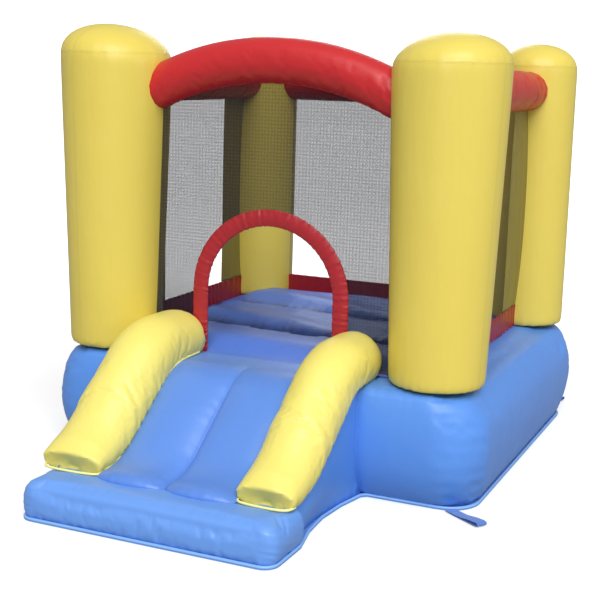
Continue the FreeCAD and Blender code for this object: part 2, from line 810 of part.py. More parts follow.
def make_anchor_loop(label, side_x, side_y, seam_angle, strap_angle):
    """A webbing loop for a ground stake, sewn on at a base corner.

    seam_angle is where on the rounded corner it is sewn, and strap_angle
    is the way it lies; both are degrees off the X axis.
    """
    body = new_body(label)
    sketch = new_sketch(body, f"{label}_side", "XZ_Plane")
    long, eye, ply = dim("strap_length"), dim("strap_eye"), dim("webbing")
    seam = long * 0.4
    outline(sketch, [(0, 0), (long, 0), (long, eye * 2), (seam, ply * 2), (0, ply * 2)],
            {1: eye * -0.8})
    pad(body, sketch, dim("strap_width"), midplane=True)
    inside = new_sketch(body, f"{label}_eye", "XZ_Plane")
    outline(inside, [(seam, ply), (long, ply), (long, eye * 2 - ply), (seam + ply * 2, ply * 1.5)],
            {1: (ply - eye) * 0.8})
    pocket(body, inside, dim("strap_width"), midplane=True)
    turn = strap_angle * side_y
    heading = turn if side_x > 0 else 180 - turn
    angle = math.radians(seam_angle)
    reach = dim("base_corner") + dim("hem") + dim("strap_gap")
    root_x = dim("base_half_width") - dim("base_corner") + reach * math.cos(angle)
    root_y = dim("base_half_depth") - dim("base_corner") + reach * math.sin(angle)
    place(body, (root_x * side_x, root_y * side_y, 0), Rotation(Vector(0, 0, 1), heading))
    keep(body)


def make_zip():
    """The air release zip in the back wall, with its slider and pull tab."""
    half, middle, level = dim("zip_width") / 2, dim("zip_x"), dim("bulge_height")
    reach = dim("zip_length") / 2
    back = dim("base_half_depth") + dim("end_bulge") + cloth / 2
    face = back + cloth
    tape = box("zip_tape", (middle - reach, back, level - half),
               (middle + reach, face, level + half))
    teeth_half, teeth_rise = 2.5, 1.4
    teeth = box("zip_teeth", (middle - reach, face, level - teeth_half),
                (middle + reach, face + teeth_rise, level + teeth_half))

    # the slider clears the teeth, and its bail leaves a slot for the pull tab
    gap, end_room, long, half_high, rise = 0.4, 12, 20, 6, 6.4
    start, top = middle - reach + end_room, face + rise
    over = 1
    block = box("slider_block", (start, face + gap, level - half_high),
                (start + long, top, level + half_high))
    channel = box("slider_channel", (start - over, face - over, level - teeth_half - gap),
                  (start + long + over, face + teeth_rise + gap, level + teeth_half + gap))
    centre = start + long / 2
    slot_depth, slot_half, bail, bail_half, bail_high = 3.6, 2, 1.4, 1.5, 4
    arch = box("slider_bail", (centre - bail_half, top, level - bail_high),
               (centre + bail_half, top + slot_depth + bail, level + bail_high))
    slot = box("slider_slot", (centre - slot_half, top, level - slot_half),
               (centre + slot_half, top + slot_depth, level + slot_half))
    slider = fuse("zip_slider", [cut("slider_body", block, channel),
                                 cut("slider_arch", arch, slot)])
    keep(tape, teeth, slider)

    pull = new_body("zip_pull")
    pull_half, pull_low, pull_high, pull_thick = 5, -34, 1.2, 1.6
    shape = new_sketch(pull, "pull_shape", "XZ_Plane")
    rectangle(shape, -pull_half, pull_half, pull_low, pull_high)
    pad(pull, shape, pull_thick, midplane=True)
    window_low, window_high = -7, -1.2
    window = new_sketch(pull, "pull_window", "XZ_Plane")
    rectangle(window, -slot_half, slot_half, window_low, window_high)
    pocket(pull, window, pull_thick, midplane=True)
    place(pull, (centre, top + slot_depth / 2, level))
    keep(pull)


# ------------------------------------------------------------------- blower

def blower_outside(label, inset):
    """The blower housing's outer form: a drum with a square nozzle."""
    radius, width = dim("scroll_radius") - inset, dim("scroll_width") - inset * 2
    middle, axis_y, axis_z = dim("blower_x"), dim("blower_y"), dim("blower_z")
    side = dim("nozzle_side") / 2 - inset
    floor = axis_z - dim("scroll_radius") + inset
    drum = cylinder(f"{label}_drum", "x", (middle - width / 2, axis_y, axis_z), radius, width)
    mouth = axis_y - dim("nozzle_reach")
    nozzle = box(f"{label}_nozzle", (middle - side, mouth, floor),
                 (middle + side, axis_y, floor + side * 2))
    return fuse(label, [drum, nozzle])


def make_blower(base_block):
    middle, axis_y, axis_z = dim("blower_x"), dim("blower_y"), dim("blower_z")
    wall, radius, width = dim("housing_wall"), dim("scroll_radius"), dim("scroll_width")
    right, left = middle + width / 2, middle - width / 2
    outside = blower_outside("housing_space", Size(0, "0"))
    shell = cut("housing_shell", outside, blower_outside("housing_air", wall))
    intake = cylinder("intake_hole", "x", (middle, axis_y, axis_z), dim("intake_radius"), width)
    passage_room, screw_inset, screw_radius, screw_head = 3, 9, 4.5, 3
    passage = cylinder("shaft_hole", "x", (left - wall, axis_y, axis_z),
                       dim("shaft_radius") + passage_room, wall * 3)
    opened = cut("housing_opened", shell, fuse("housing_holes", [intake, passage]))
    far = radius * 2
    for name, low, high in (("left", middle - far, middle), ("right", middle, middle + far)):
        half = box(f"housing_{name}_side", (low, axis_y - far, 0), (high, axis_y + far, far * 2))
        keep(common(f"blower_housing_{name}", [opened, half]))

    make_grille(right)
    make_impeller(left)
    make_motor(left)
    make_stand(outside)

    screws = []
    spread, count = radius - screw_inset, 6
    for number in range(count):
        angle = 2 * math.pi * (number + 0.5) / count
        spot = (right, axis_y + spread * math.cos(angle), axis_z + spread * math.sin(angle))
        screws.append(cylinder(f"screw_{number}", "x", spot, screw_radius, screw_head))
    keep(group("housing_screws", screws))

    sleeve_level = axis_z - radius + dim("nozzle_side") / 2
    outer = dim("sleeve_radius")
    start = dim("base_half_depth")
    sleeve = tube("sleeve_tube", "y", (middle, start, sleeve_level), outer, cloth,
                  dim("sleeve_end") - start)
    keep(cut("air_sleeve", sleeve, base_block))
    band, cuff, ply, fit = 30, 6, 2.2, 0.2
    band_start = dim("sleeve_end") - band - cuff
    keep(tube("sleeve_strap", "y", (middle, band_start, sleeve_level), outer + fit + ply, ply,
              band))
    top = sleeve_level + outer + ply + fit * 2
    buckle_half, buckle_lap, buckle_high = 21, 5, 9
    keep(box("strap_buckle", (middle - buckle_half, band_start - buckle_lap, top),
             (middle + buckle_half, band_start + band + buckle_lap, top + buckle_high)))


def make_grille(face):
    """A guard with twelve slots over the air intake."""
    grille = new_body("intake_grille")
    thick, lap, hub, slot_half = 3, 10, 20, 4
    rim = new_sketch(grille, "grille_rim")
    circle(rim, dim("intake_radius") + lap)
    pad(grille, rim, thick)
    slot = new_sketch(grille, "grille_slot")
    rectangle(slot, hub, dim("intake_radius") - thick, -slot_half, slot_half)
    opening = pocket(grille, slot, thick, reverse=True)
    ring = grille.newObject("PartDesign::PolarPattern", "grille_slots")
    ring.Originals = [opening]
    ring.Axis = (rim, ["N_Axis"])
    ring.Angle = 360
    ring.Occurrences = 12
    grille.Tip = ring
    place(grille, (face, dim("blower_y"), dim("blower_z")), TURN["x"])
    keep(grille)


def make_impeller(left):
    """Back plate, hub, blades and front ring, with the shaft through the hub."""
    axis_y, axis_z = dim("blower_y"), dim("blower_z")
    wall, radius, width = dim("housing_wall"), dim("impeller_radius"), dim("impeller_width")
    side_room, sheet_metal, hub_radius, hub_long, blade_reach = 8, 2.5, 16, 30, 20
    start = left + wall + side_room
    wheel = new_body("impeller")
    plate = new_sketch(wheel, "back_plate")
    circle(plate, radius)
    circle(plate, dim("shaft_radius"))
    pad(wheel, plate, sheet_metal)
    hub = new_sketch(wheel, "hub")
    circle(hub, hub_radius)
    circle(hub, dim("shaft_radius"))
    pad(wheel, hub, hub_long)
    front = new_sketch(wheel, "front_ring", "XY_Plane", width - sheet_metal)
    circle(front, radius)
    circle(front, radius - blade_reach)
    pad(wheel, front, sheet_metal)
    blade = new_sketch(wheel, "blade")
    root, tip, sweep_back, thick = radius - blade_reach, radius - 1, 8, 1.8
    outline(blade, [(root, 0), (tip, sweep_back), (tip - thick / 3, sweep_back + thick),
                    (root - thick / 3, thick)])
    vane = pad(wheel, blade, width)
    doc.recompute()
    ring = wheel.newObject("PartDesign::PolarPattern", "blades")
    ring.Originals = [vane]
    ring.Axis = (plate, ["N_Axis"])
    ring.Angle = 360
    ring.Occurrences = 24
    wheel.Tip = ring
    place(wheel, (start, axis_y, axis_z), TURN["x"])
    shaft_inset, shaft_over = 10, 4
    shaft_start = left - dim("motor_length") + shaft_inset
    shaft = cylinder("motor_shaft", "x", (shaft_start, axis_y, axis_z), dim("shaft_radius"),
                     start + hub_long + shaft_over - shaft_start)
    keep(wheel, shaft)


def make_motor(left):
    """The motor on the housing's left face, in its cover, with the switch box."""
    axis_y, axis_z = dim("blower_y"), dim("blower_z")
    long, cover = dim("motor_length"), dim("cover_length")
    can = cylinder("motor_can", "x", (left - long, axis_y, axis_z), dim("motor_radius"), long)
    end_cap = 8
    bore = cylinder("motor_bore", "x", (left - long + end_cap, axis_y, axis_z),
                    dim("shaft_radius") + RUNNING_GAP, long)
    keep(cut("motor", can, bore))
    wall = dim("housing_wall")
    cup = cylinder("cover_outside", "x", (left - cover, axis_y, axis_z), dim("cover_radius"), cover)
    inside = cylinder("cover_inside", "x", (left - cover + wall, axis_y, axis_z),
                      dim("cover_radius") - wall, cover)
    vents = []
    pitch, vent_half_long, vent_half_high, over = 11, 26, 2.5, 1
    for number in range(-3, 4):
        level = axis_z + number * pitch
        vents.append(box(f"vent_{number + 3}",
                         (left - cover - over, axis_y - vent_half_long, level - vent_half_high),
                         (left - cover + wall + over, axis_y + vent_half_long,
                          level + vent_half_high)))
    keep(cut("motor_cover", cut("cover_shell", cup, inside), fuse("cover_vents", vents)))

    # the box stands on the cover's back, with the rocker let into it
    low, high = left - dim("motor_length"), left - dim("motor_length") / 6
    back = axis_y + dim("cover_radius")
    sunk, proud, below, above = 14, 18, 22, 34
    block = box("switch_block", (low, back - sunk, axis_z - below),
                (high, back + proud, axis_z + above))
    seat_start, seat_wide, seat_depth, seat_half = 12, 22, 12, 16
    rocker_z = axis_z + 8
    seat = box("switch_seat", (low + seat_start, back + proud - seat_depth, rocker_z - seat_half),
               (low + seat_start + seat_wide, back + proud + over, rocker_z + seat_half))
    drum = cylinder("cover_room", "x", (left - cover, axis_y, axis_z), dim("cover_radius"), cover)
    keep(cut("switch_box", cut("switch_case", block, seat), drum))

    rocker = new_body("switch_rocker")
    sketch = new_sketch(rocker, "rocker_side", "YZ_Plane")
    depth, half_high, horn, rocker_wide, half_throw, pivot_sunk = 5, 12, 1.4, 18, 7, 2
    outline(sketch, [(-depth, -half_high), (depth - 3, -half_high - 1), (depth, -half_high - horn),
                     (depth / 2, 0), (depth, half_high + horn), (depth - 3, half_high + 1),
                     (-depth, half_high)])
    pad(rocker, sketch, rocker_wide, midplane=True)
    # modelled in its off position, tipped by half its throw
    place(rocker, (low + seat_start + seat_wide / 2, back + proud - pivot_sunk, rocker_z),
          Rotation(Vector(1, 0, 0), -half_throw))
    gland_x, gland_z, face = high - proud, axis_z - 8, back + proud
    nut_radius, nut_long, boss_radius, boss_long, lead_radius = 8, 7, 6, 12, 3.6
    gland = cylinder("gland_nut", "y", (gland_x, face, gland_z), nut_radius, nut_long)
    boss = cylinder("gland_boss", "y", (gland_x, face + nut_long, gland_z), boss_radius, boss_long)
    hole = cylinder("gland_hole", "y", (gland_x, face, gland_z), lead_radius,
                    nut_long + boss_long)
    keep(rocker, cut("cable_gland", fuse("gland_solid", [gland, boss]), hole))


def make_stand(outside):
    """The stand with its rubber feet, and the handle on top."""
    middle, axis_y, axis_z = dim("blower_x"), dim("blower_y"), dim("blower_z")
    radius = dim("scroll_radius")
    foot, foot_radius, foot_inset = 14, 14, 18
    half_x, half_y, plate = 105, 120, 10
    base = box("stand_plate", (middle - half_x, axis_y - half_y, foot),
               (middle + half_x, axis_y + half_y, foot + plate))
    cheeks = [base]
    rib_half, rib_thick, rib_top = 60, 8, 90
    for number, where in enumerate((-78, 70)):
        cheeks.append(box(f"stand_rib_{number}",
                          (middle - rib_half, axis_y + where, foot + plate),
                          (middle + rib_half, axis_y + where + rib_thick, rib_top)))
    keep(cut("blower_stand", fuse("stand_solid", cheeks), outside))
    feet = []
    out_x, out_y = half_x - foot_inset, half_y - foot_inset
    for number, (side_x, side_y) in enumerate(((-1, -1), (1, -1), (-1, 1), (1, 1))):
        spot = (middle + side_x * out_x, axis_y + side_y * out_y, 0)
        feet.append(cylinder(f"rubber_foot_{number}", "z", spot, foot_radius, foot))
    keep(group("blower_feet", feet))

    handle = new_body("carry_handle")
    sketch = new_sketch(handle, "handle_side", "YZ_Plane")
    reach, rise, sunk, bar, handle_wide = 62, 42, 30, 14, 26
    top = radius + rise
    outline(sketch, [(-reach, radius - sunk), (-reach, top), (reach, top), (reach, radius - sunk)])
    pad(handle, sketch, handle_wide, midplane=True)
    grip = new_sketch(handle, "finger_space", "YZ_Plane")
    rectangle(grip, -reach + bar, reach - bar, radius - sunk - 1, top - bar)
    pocket(handle, grip, handle_wide, midplane=True)
    place(handle, (middle, axis_y, axis_z))
    keep(cut("blower_handle", handle, outside))


# ------------------------------------------------------------------- build

base_space = make_base()
make_floor()
post_space = make_posts()
beam_space = make_beams(post_space)
make_walls(post_space, beam_space)
make_slide(base_space)
make_anchor_loop("anchor_loop_front_right", 1, -1, 66, 34)
make_anchor_loop("anchor_loop_rear_left", -1, 1, 72, 78)
make_anchor_loop("anchor_loop_rear_right", 1, 1, 72, 78)
make_zip()
make_blower(base_space)
doc.recompute()

for item in doc.Objects:
    if "Invalid" in item.State or "Error" in item.State:
        raise RuntimeError(f"{item.Name} failed: {item.State}")
os.makedirs("parts", exist_ok=True)
for node in NODES:
    if node.Shape.isNull() or not node.Shape.isValid() or not node.Shape.Solids:
        raise RuntimeError(f"{node.Label} is not a valid solid")
for node in NODES:
    node.Shape.exportStep(f"parts/{node.Label}.step")
    bounds = node.Shape.optimalBoundingBox()
    print(f"{node.Label:26s} solids {len(node.Shape.Solids)}  "
          f"volume {node.Shape.Volume / 1000:9.1f} cm3  "
          f"x {bounds.XMin:7.0f} {bounds.XMax:7.0f}  y {bounds.YMin:7.0f} {bounds.YMax:7.0f}  "
          f"z {bounds.ZMin:6.0f} {bounds.ZMax:6.0f}")
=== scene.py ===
import math
import bpy
import numpy as np
from mathutils import Matrix, Vector


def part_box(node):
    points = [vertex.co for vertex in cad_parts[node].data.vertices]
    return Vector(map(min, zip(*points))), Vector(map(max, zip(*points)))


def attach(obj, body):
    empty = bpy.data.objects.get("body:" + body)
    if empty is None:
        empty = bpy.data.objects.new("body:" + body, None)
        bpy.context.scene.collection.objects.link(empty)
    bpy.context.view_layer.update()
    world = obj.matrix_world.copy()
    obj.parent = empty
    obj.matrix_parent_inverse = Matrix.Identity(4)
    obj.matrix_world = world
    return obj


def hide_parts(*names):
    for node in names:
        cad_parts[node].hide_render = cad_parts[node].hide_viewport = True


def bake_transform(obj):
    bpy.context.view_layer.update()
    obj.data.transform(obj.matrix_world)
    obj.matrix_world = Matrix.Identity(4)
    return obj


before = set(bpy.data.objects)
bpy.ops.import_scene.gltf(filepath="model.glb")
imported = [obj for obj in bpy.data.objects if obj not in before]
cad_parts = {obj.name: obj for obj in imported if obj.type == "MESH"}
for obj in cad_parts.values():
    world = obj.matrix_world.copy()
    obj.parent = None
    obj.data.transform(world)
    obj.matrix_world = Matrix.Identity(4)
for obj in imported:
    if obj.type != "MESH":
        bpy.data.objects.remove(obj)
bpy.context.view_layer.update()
scene = bpy.context.scene
HOUSE = "house"

# ------------------------------------------------------------ sizes, metres
# taken from the frame where it says them

def middle_of(node, axis):
    low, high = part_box(node)
    return (low[axis] + high[axis]) / 2


floor_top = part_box("jump_floor")[1].z
base_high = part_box("base_wall")[1]
foot_low, foot_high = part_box("slide_foot")
bed_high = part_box("slide_bed")[1]
DECK = base_high.z + 0.002
FOOT_TOP = foot_high.z
POST_X = middle_of("post_front_right", 0)
POST_Y = middle_of("post_rear_right", 1)
FRONT = middle_of("door_trim", 1)
BEAM_RADIUS = 0.09
BEAM_BEND = 1.243               # the arched beam's radius of bend
DOOR_OUTSIDE = 0.360            # the doorway arch's radii, outside and inside its binding
DOOR_INSIDE = 0.290
DOOR_MIDDLE = (DOOR_INSIDE + DOOR_OUTSIDE) / 2
DOOR_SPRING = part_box("door_trim")[1].z - DOOR_OUTSIDE
SLOPE = math.radians(40.3)      # the slide, and its bends at the brow and the foot
BROW_BEND = 0.25
RUNOUT_BEND = 0.30
BROW = -0.905
SLIDE_HALF = 0.490              # where its sides meet the base
LEAN = 0.026                    # how far its foot stands to the left
LEAN_FROM, LEAN_TO = 0.95, 1.55
SEAM_HALF_X, SEAM_HALF_Y = 0.943, 0.840     # the base's seam on the ground
SEAM_CORNER = 0.125
CLOTH = 0.0012                  # thicknesses
NETTING = 0.0006
PLY = 0.0016

# ------------------------------------------------------------ modelling by hand

def nothing_selected():
    if bpy.context.object and bpy.context.object.mode == "EDIT":
        bpy.ops.object.mode_set(mode="OBJECT")
    bpy.ops.object.select_all(action="DESELECT")


def only(piece):
    nothing_selected()
    piece.select_set(True)
    bpy.context.view_layer.objects.active = piece
    return piece


def named(name):
    piece = bpy.context.object
    piece.name = name
    piece.data.name = name
    return piece


def edit_all(kind=None):
    """Edit mode with all of one kind of element selected."""
    bpy.ops.object.mode_set(mode="EDIT")
    if kind:
        bpy.ops.mesh.select_mode(type=kind)
    bpy.ops.mesh.select_all(action="SELECT")


def end_edit():
    bpy.ops.object.mode_set(mode="OBJECT")


def settle(piece):
    """Put the piece's place into its mesh."""
    only(piece)
    bpy.ops.object.transform_apply(location=True, rotation=True, scale=True)
    return piece


def apply(piece, kind, **settings):
    """Add one modifier with its settings and apply it."""
    only(piece)
    step = piece.modifiers.new(kind.title(), kind)
    for key, value in settings.items():
        setattr(step, key, value)
    bpy.ops.object.modifier_apply(modifier=step.name)
    return piece


def smooth_over(piece, levels=1):
    return apply(piece, "SUBSURF", levels=levels, render_levels=levels)


def tidy_normals(piece):
    only(piece)
    edit_all()
    bpy.ops.mesh.remove_doubles(threshold=0.00005)
    bpy.ops.mesh.normals_make_consistent(inside=False)
    end_edit()
    return piece


def copy_of(piece, name, matrix):
    """A copy with its own mesh, moved in that mesh."""
    only(piece)
    twin = piece.copy()
    twin.data = piece.data.copy()
    scene.collection.objects.link(twin)
    twin.name = name
    twin.data.name = name
    twin.data.transform(matrix)
    return twin


def points_of(piece):
    flat = np.zeros(len(piece.data.vertices) * 3)
    piece.data.vertices.foreach_get("co", flat)
    return flat.reshape(-1, 3)


def put_points(piece, points):
    piece.data.vertices.foreach_set("co", points.ravel())
    piece.data.update()


def normals_of(piece):
    flat = np.zeros(len(piece.data.vertices) * 3)
    piece.data.vertex_normals.foreach_get("vector", flat)
    return flat.reshape(-1, 3)


def step_edge(low, high, value):
    """0 below low, 1 above high, smooth between."""
    t = np.clip((value - low) / (high - low), 0, 1)
    return t * t * (3 - 2 * t)


def uneven(place, seed):
    """A slow wave between -1 and 1 that doesn't repeat."""
    return (np.sin(place * 1.0 + seed) * 0.5 + np.sin(place * 2.3 + seed * 2.1) * 0.3
            + np.sin(place * 0.37 + seed * 3.7) * 0.2)


def pucker(piece, seam, reach, depth, pitch, seed=1.0, where=None):
    """Gather the cloth along a seam, in folds that run away from it.

    seam gives each point's distance from the seam and its place along it.
    """
    points = points_of(piece)
    away, along = seam(points)
    folds = np.sin(2 * math.pi * along / pitch + 2.2 * uneven(along / pitch * 0.9, seed))
    height = depth * (0.55 + 0.45 * uneven(along / pitch * 1.7, seed + 2))
    # a fold is deepest a little way off the seam itself
    near = np.exp(-((away / reach) ** 2)) * (0.35 + 0.65 * step_edge(0, reach * 0.25, away))
    if where is not None:
        near = near * where(points)
    put_points(piece, points + normals_of(piece) * (folds * height * near)[:, None])
    return piece


def press_in(piece, seam, reach, depth):
    """Draw the cloth in along a seam."""
    points = points_of(piece)
    away, _ = seam(points)
    pull = np.exp(-(away / reach)) * depth
    put_points(piece, points - normals_of(piece) * pull[:, None])
    return piece


def mark_seam(piece, *seams):
    """Remember how near each point is to a seam, for the cloth's material."""
    points = points_of(piece)
    near = np.zeros(len(points))
    for seam, reach in seams:
        away, _ = seam(points)
        near = np.maximum(near, np.exp(-(away / reach) ** 2))
    layer = piece.data.attributes.new("near_seam", "FLOAT", "POINT")
    layer.data.foreach_set("value", near.astype(np.float32))
    return piece


LAST_FRAME = 20


def blow_up(piece, voxel, held, limit, push=4.0, slack=0.0):
    """Inflate a closed cloth shell.

    held gives how firmly each point is sewn down, and no point moves further than limit.
    """
    apply(piece, "REMESH", mode="VOXEL", voxel_size=voxel)
    before = points_of(piece)
    group = piece.vertex_groups.new(name="held")
    for index, weight in enumerate(np.clip(held(before), 0, 1)):
        if weight > 0:
            group.add([index], float(weight), "REPLACE")
    only(piece)
    cloth = piece.modifiers.new("Cloth", "CLOTH")
    cloth.settings.quality = 4
    cloth.settings.mass = 0.4
    cloth.settings.bending_stiffness = 0.6
    cloth.settings.use_pressure = True
    cloth.settings.uniform_pressure_force = push
    cloth.settings.shrink_min = -slack
    cloth.settings.vertex_group_mass = "held"
    cloth.settings.effector_weights.gravity = 0
    for number in range(1, LAST_FRAME + 1):
        scene.frame_set(number)
    bpy.ops.object.modifier_apply(modifier=cloth.name)
    scene.frame_set(1)
    move = points_of(piece) - before
    length = np.maximum(np.linalg.norm(move, axis=1), 1e-9)
    put_points(piece, before + move * (np.minimum(length, limit) / length)[:, None])
    piece.vertex_groups.clear()
    return piece


def tube_run(name, stations, around, turn_axis, first_turn):
    """A closed tube: a round face carried from station to station.

    A station is (centre, turn about turn_axis, radius).
    """
    centre, turn, radius = stations[0]
    nothing_selected()
    bpy.ops.mesh.primitive_circle_add(vertices=around, radius=radius, fill_type="NGON",
                                      location=centre, rotation=first_turn)
    piece = settle(named(name))
    edit_all()
    for here, angle, size in stations[1:]:
        bpy.ops.mesh.extrude_region_move(
            TRANSFORM_OT_translate={"value": tuple(Vector(here) - Vector(centre))})
        if abs(angle - turn) > 1e-6:
            bpy.ops.transform.rotate(value=turn - angle, orient_axis=turn_axis,
                                     center_override=tuple(here))
        if abs(size / radius - 1) > 1e-6:
            grow = size / radius
            bpy.ops.transform.resize(value=(grow, grow, grow), center_override=tuple(here))
        centre, turn, radius = here, angle, size
    end_edit()
    return tidy_normals(piece)


def rounded_end(centre, direction, turn, radius, reach, start=True):
    """Stations that close a tube with a soft dome."""
    stations = []
    count = 5
    for step in range(count):
        swing = (step + 0.35) / count * math.pi / 2
        out = reach * math.cos(swing)
        stations.append((tuple(Vector(centre) + Vector(direction) * out), turn,
                         radius * math.sin(swing)))
    return stations if start else stations[::-1]


def sewn_end(centre, way, turn, radius, reach, sink):
    """Stations for a roll's blunt end, drawn down to the seam under it."""
    stations = []
    for share in (0.10, 0.30, 0.52, 0.72, 0.88, 0.97):
        back = 1 - math.sqrt(1 - (1 - share) ** 2)
        x, y, z = centre
        stations.append(((x, y + way * reach * (1 - back), z - sink * (1 - share) ** 1.5),
                         turn, radius * share))
    return stations


def cloth_grid(name, across, down, point):
    """An open cloth panel: a grid whose corners are laid by point(u, v), u and v 0 to 1."""
    nothing_selected()
    bpy.ops.mesh.primitive_grid_add(x_subdivisions=across, y_subdivisions=down, size=1,
                                    location=(0.5, 0.5, 0))
    piece = settle(named(name))
    flat = points_of(piece)
    put_points(piece, point(flat[:, 0], flat[:, 1]))
    return piece


def thicken(piece, thickness, offset=0.0):
    return apply(piece, "SOLIDIFY", thickness=thickness, offset=offset)


def dress(piece, finish, body=HOUSE, nodes=(), crease=None):
    """Give a finished piece its material, its body and the nodes it stands for."""
    only(piece)
    if crease is None:
        bpy.ops.object.shade_smooth()
    else:
        bpy.ops.object.shade_smooth_by_angle(angle=math.radians(crease))
    piece.data.materials.clear()
    piece.data.materials.append(finish)
    if body:
        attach(piece, body)
    if nodes:
        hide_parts(*nodes)
    return piece


# ------------------------------------------------------------ materials

class Wire:
    """A node's output that Python arithmetic works on."""

    def __init__(self, finish, socket):
        self.finish = finish
        self.socket = socket

    def sum(self, operation, *values):
        return self.finish.node("ShaderNodeMath", {"operation": operation},
                                dict(enumerate(values)))

    def __add__(self, other):
        return self.sum("ADD", self, other)

    def __sub__(self, other):
        return self.sum("SUBTRACT", self, other)

    def __rsub__(self, other):
        return self.sum("SUBTRACT", other, self)

    def __mul__(self, other):
        return self.sum("MULTIPLY", self, other)

    def __truediv__(self, other):
        return self.sum("DIVIDE", self, other)

    def __pow__(self, other):
        return self.sum("POWER", self, other)

    def __gt__(self, other):
        return self.sum("GREATER_THAN", self, other)

    __radd__ = __add__
    __rmul__ = __mul__


class Finish:
    """One material, its shader and the nodes that vary it."""

    def __init__(self, name, **shader):
        self.material = bpy.data.materials.new(name)
        self.material.use_nodes = True
        self.nodes = self.material.node_tree.nodes
        self.shader = self.nodes["Principled BSDF"]
        for key, value in shader.items():
            self.shader.inputs[key.replace("_", " ")].default_value = value

    def node(self, kind, settings=None, inputs=None, output=0):
        made = self.nodes.new(kind)
        for key, value in (settings or {}).items():
            setattr(made, key, value)
        for key, value in (inputs or {}).items():
            self.join(value, made.inputs[key])
        return Wire(self, made.outputs[output])

    def join(self, value, socket):
        if isinstance(value, Wire):
            self.material.node_tree.links.new(value.socket, socket)
        else:
            socket.default_value = value

    def set(self, **inputs):
        for key, value in inputs.items():
            self.join(value, self.shader.inputs[key.replace("_", " ")])

    def noise(self, scale, detail, rough=0.5, stretch=(1, 1, 1), twist=0.0):
        here = self.node("ShaderNodeTexCoord", output="Object")
        place = self.node("ShaderNodeMapping", None, {"Vector": here, "Scale": stretch})
        return self.node("ShaderNodeTexNoise", None, {
            "Vector": place, "Scale": scale, "Detail": detail, "Roughness": rough,
            "Distortion": twist})

    def mix(self, factor, one, other):
        made = self.nodes.new("ShaderNodeMix")
        made.data_type = "RGBA"
        self.join(factor, made.inputs["Factor"])
        for value, socket in ((one, made.inputs[6]), (other, made.inputs[7])):
            self.join(value, socket)
        return Wire(self, made.outputs[2])

    def bump(self, height, strength, distance, under=None):
        inputs = {"Height": height, "Strength": strength, "Distance": distance}
        if under is not None:
            inputs["Normal"] = under
        return self.node("ShaderNodeBump", None, inputs)

    def axes(self, kind="object"):
        """X, Y and Z of the place, or of the face's direction."""
        if kind == "object":
            source = self.node("ShaderNodeTexCoord", output="Object")
        else:
            source = self.node("ShaderNodeNewGeometry", output="Normal")
        made = self.nodes.new("ShaderNodeSeparateXYZ")
        self.join(source, made.inputs[0])
        return [Wire(self, socket) for socket in made.outputs]


def rgba(colour):
    return (*colour, 1)


def woven(finish, pitch):
    """Height of a plain weave on whichever way a face looks."""
    ways = finish.axes()
    faces = [way.sum("ABSOLUTE", way) for way in finish.axes("normal")]
    threads = [way.sum("SINE", way * (2 * math.pi / pitch)) for way in ways]
    x, y, z = threads
    return faces[2] * (x * y) + faces[0] * (y * z) + faces[1] * (x * z)


def cloth_finish(name, colour, shade, gloss=0.40, wrinkle=0.5, weave=0.0024, seam_dark_and_shade=0.10,
                 coat=1.0):
    """Coated nylon: close weave, soft gloss, faint creases, darker at its seams: dark stitching,
    and painted shade in the puckers and valleys beside them.
    """
    cloth = Finish(name, IOR=1.46, Coat_Roughness=0.32)
    cloud = cloth.noise(2.1, 4)
    cast = cloth.noise(11, 3)
    seam = cloth.node("ShaderNodeAttribute", {"attribute_name": "near_seam"}, output="Fac")
    tone = cloth.mix(cloud * 0.5 + cast * 0.25, rgba(colour), rgba(shade))
    # painted shade: darker towards the seams, as dark stitching and as shade in the puckers and
    # sewn valleys beside them
    tone = cloth.mix(seam * seam_dark_and_shade, tone, rgba([value * 0.35 for value in shade]))
    creases = cloth.noise(16, 2, 0.45, (1, 1, 0.35), 0.6)
    fine = cloth.noise(46, 2, 0.5, (1, 1, 0.22), 0.4)
    soft = cloth.bump(creases, wrinkle * 0.35, 0.010)
    gathered = cloth.bump(fine * (seam * 0.9 + 0.10), wrinkle * 0.8, 0.006, soft)
    threads = cloth.bump(woven(cloth, weave), 0.16, 0.0003, gathered)
    rough = cast * 0.10 + (gloss - 0.05)
    cloth.set(Base_Color=tone, Roughness=rough, Normal=threads,
              Coat_Weight=cloud * (0.12 * coat) + 0.08 * coat)
    return cloth.material


def net_finish(name, colour, veil, thread, cord):
    """Fine dark netting: a veil of fibres, close threads and wider woven lines."""
    net = Finish(name, IOR=1.4, Roughness=0.85, Specular_IOR_Level=0.15)
    x, y, z = net.axes()

    def lines(step, share):
        over, up = [(way / step).sum("FRACT", way / step) * -1 + share > 0 for way in (x + y, z)]
        return over.sum("MAXIMUM", over, up)

    alpha = lines(0.0026, 0.3) * thread + lines(0.0145, 0.5) * cord + veil
    twist = net.noise(900, 2)
    tone = net.mix(twist, rgba(colour), rgba([value * 2.2 for value in colour]))
    net.set(Base_Color=tone, Alpha=alpha, Normal=net.bump(twist, 0.4, 0.0004))
    return net.material


def webbing_finish(name, colour):
    """Strap webbing with its ribs across."""
    strap = Finish(name, IOR=1.45, Sheen_Weight=0.3, Sheen_Roughness=0.4)
    ribs = woven(strap, 0.0032)
    dust = strap.noise(40, 4)
    tone = strap.mix(dust, rgba(colour), rgba([value * 0.72 for value in colour]))
    strap.set(Base_Color=tone, Roughness=dust * 0.2 + 0.55,
              Normal=strap.bump(ribs, 0.6, 0.0008))
    return strap.material


def moulded_finish(name, colour, rough=0.45, grain=900, depth=0.25):
    """Moulded plastic or rubber: fine grain, a little paler in random patches of wear."""
    part = Finish(name, IOR=1.5)
    grains = part.noise(grain, 2)
    wear = part.noise(22, 5)
    tone = part.mix(wear * 0.5, rgba(colour), rgba([min(1, value * 1.35 + 0.01)
                                                   for value in colour]))
    part.set(Base_Color=tone, Roughness=wear * 0.18 + (rough - 0.08),
             Normal=part.bump(grains, depth, 0.0004))
    return part.material


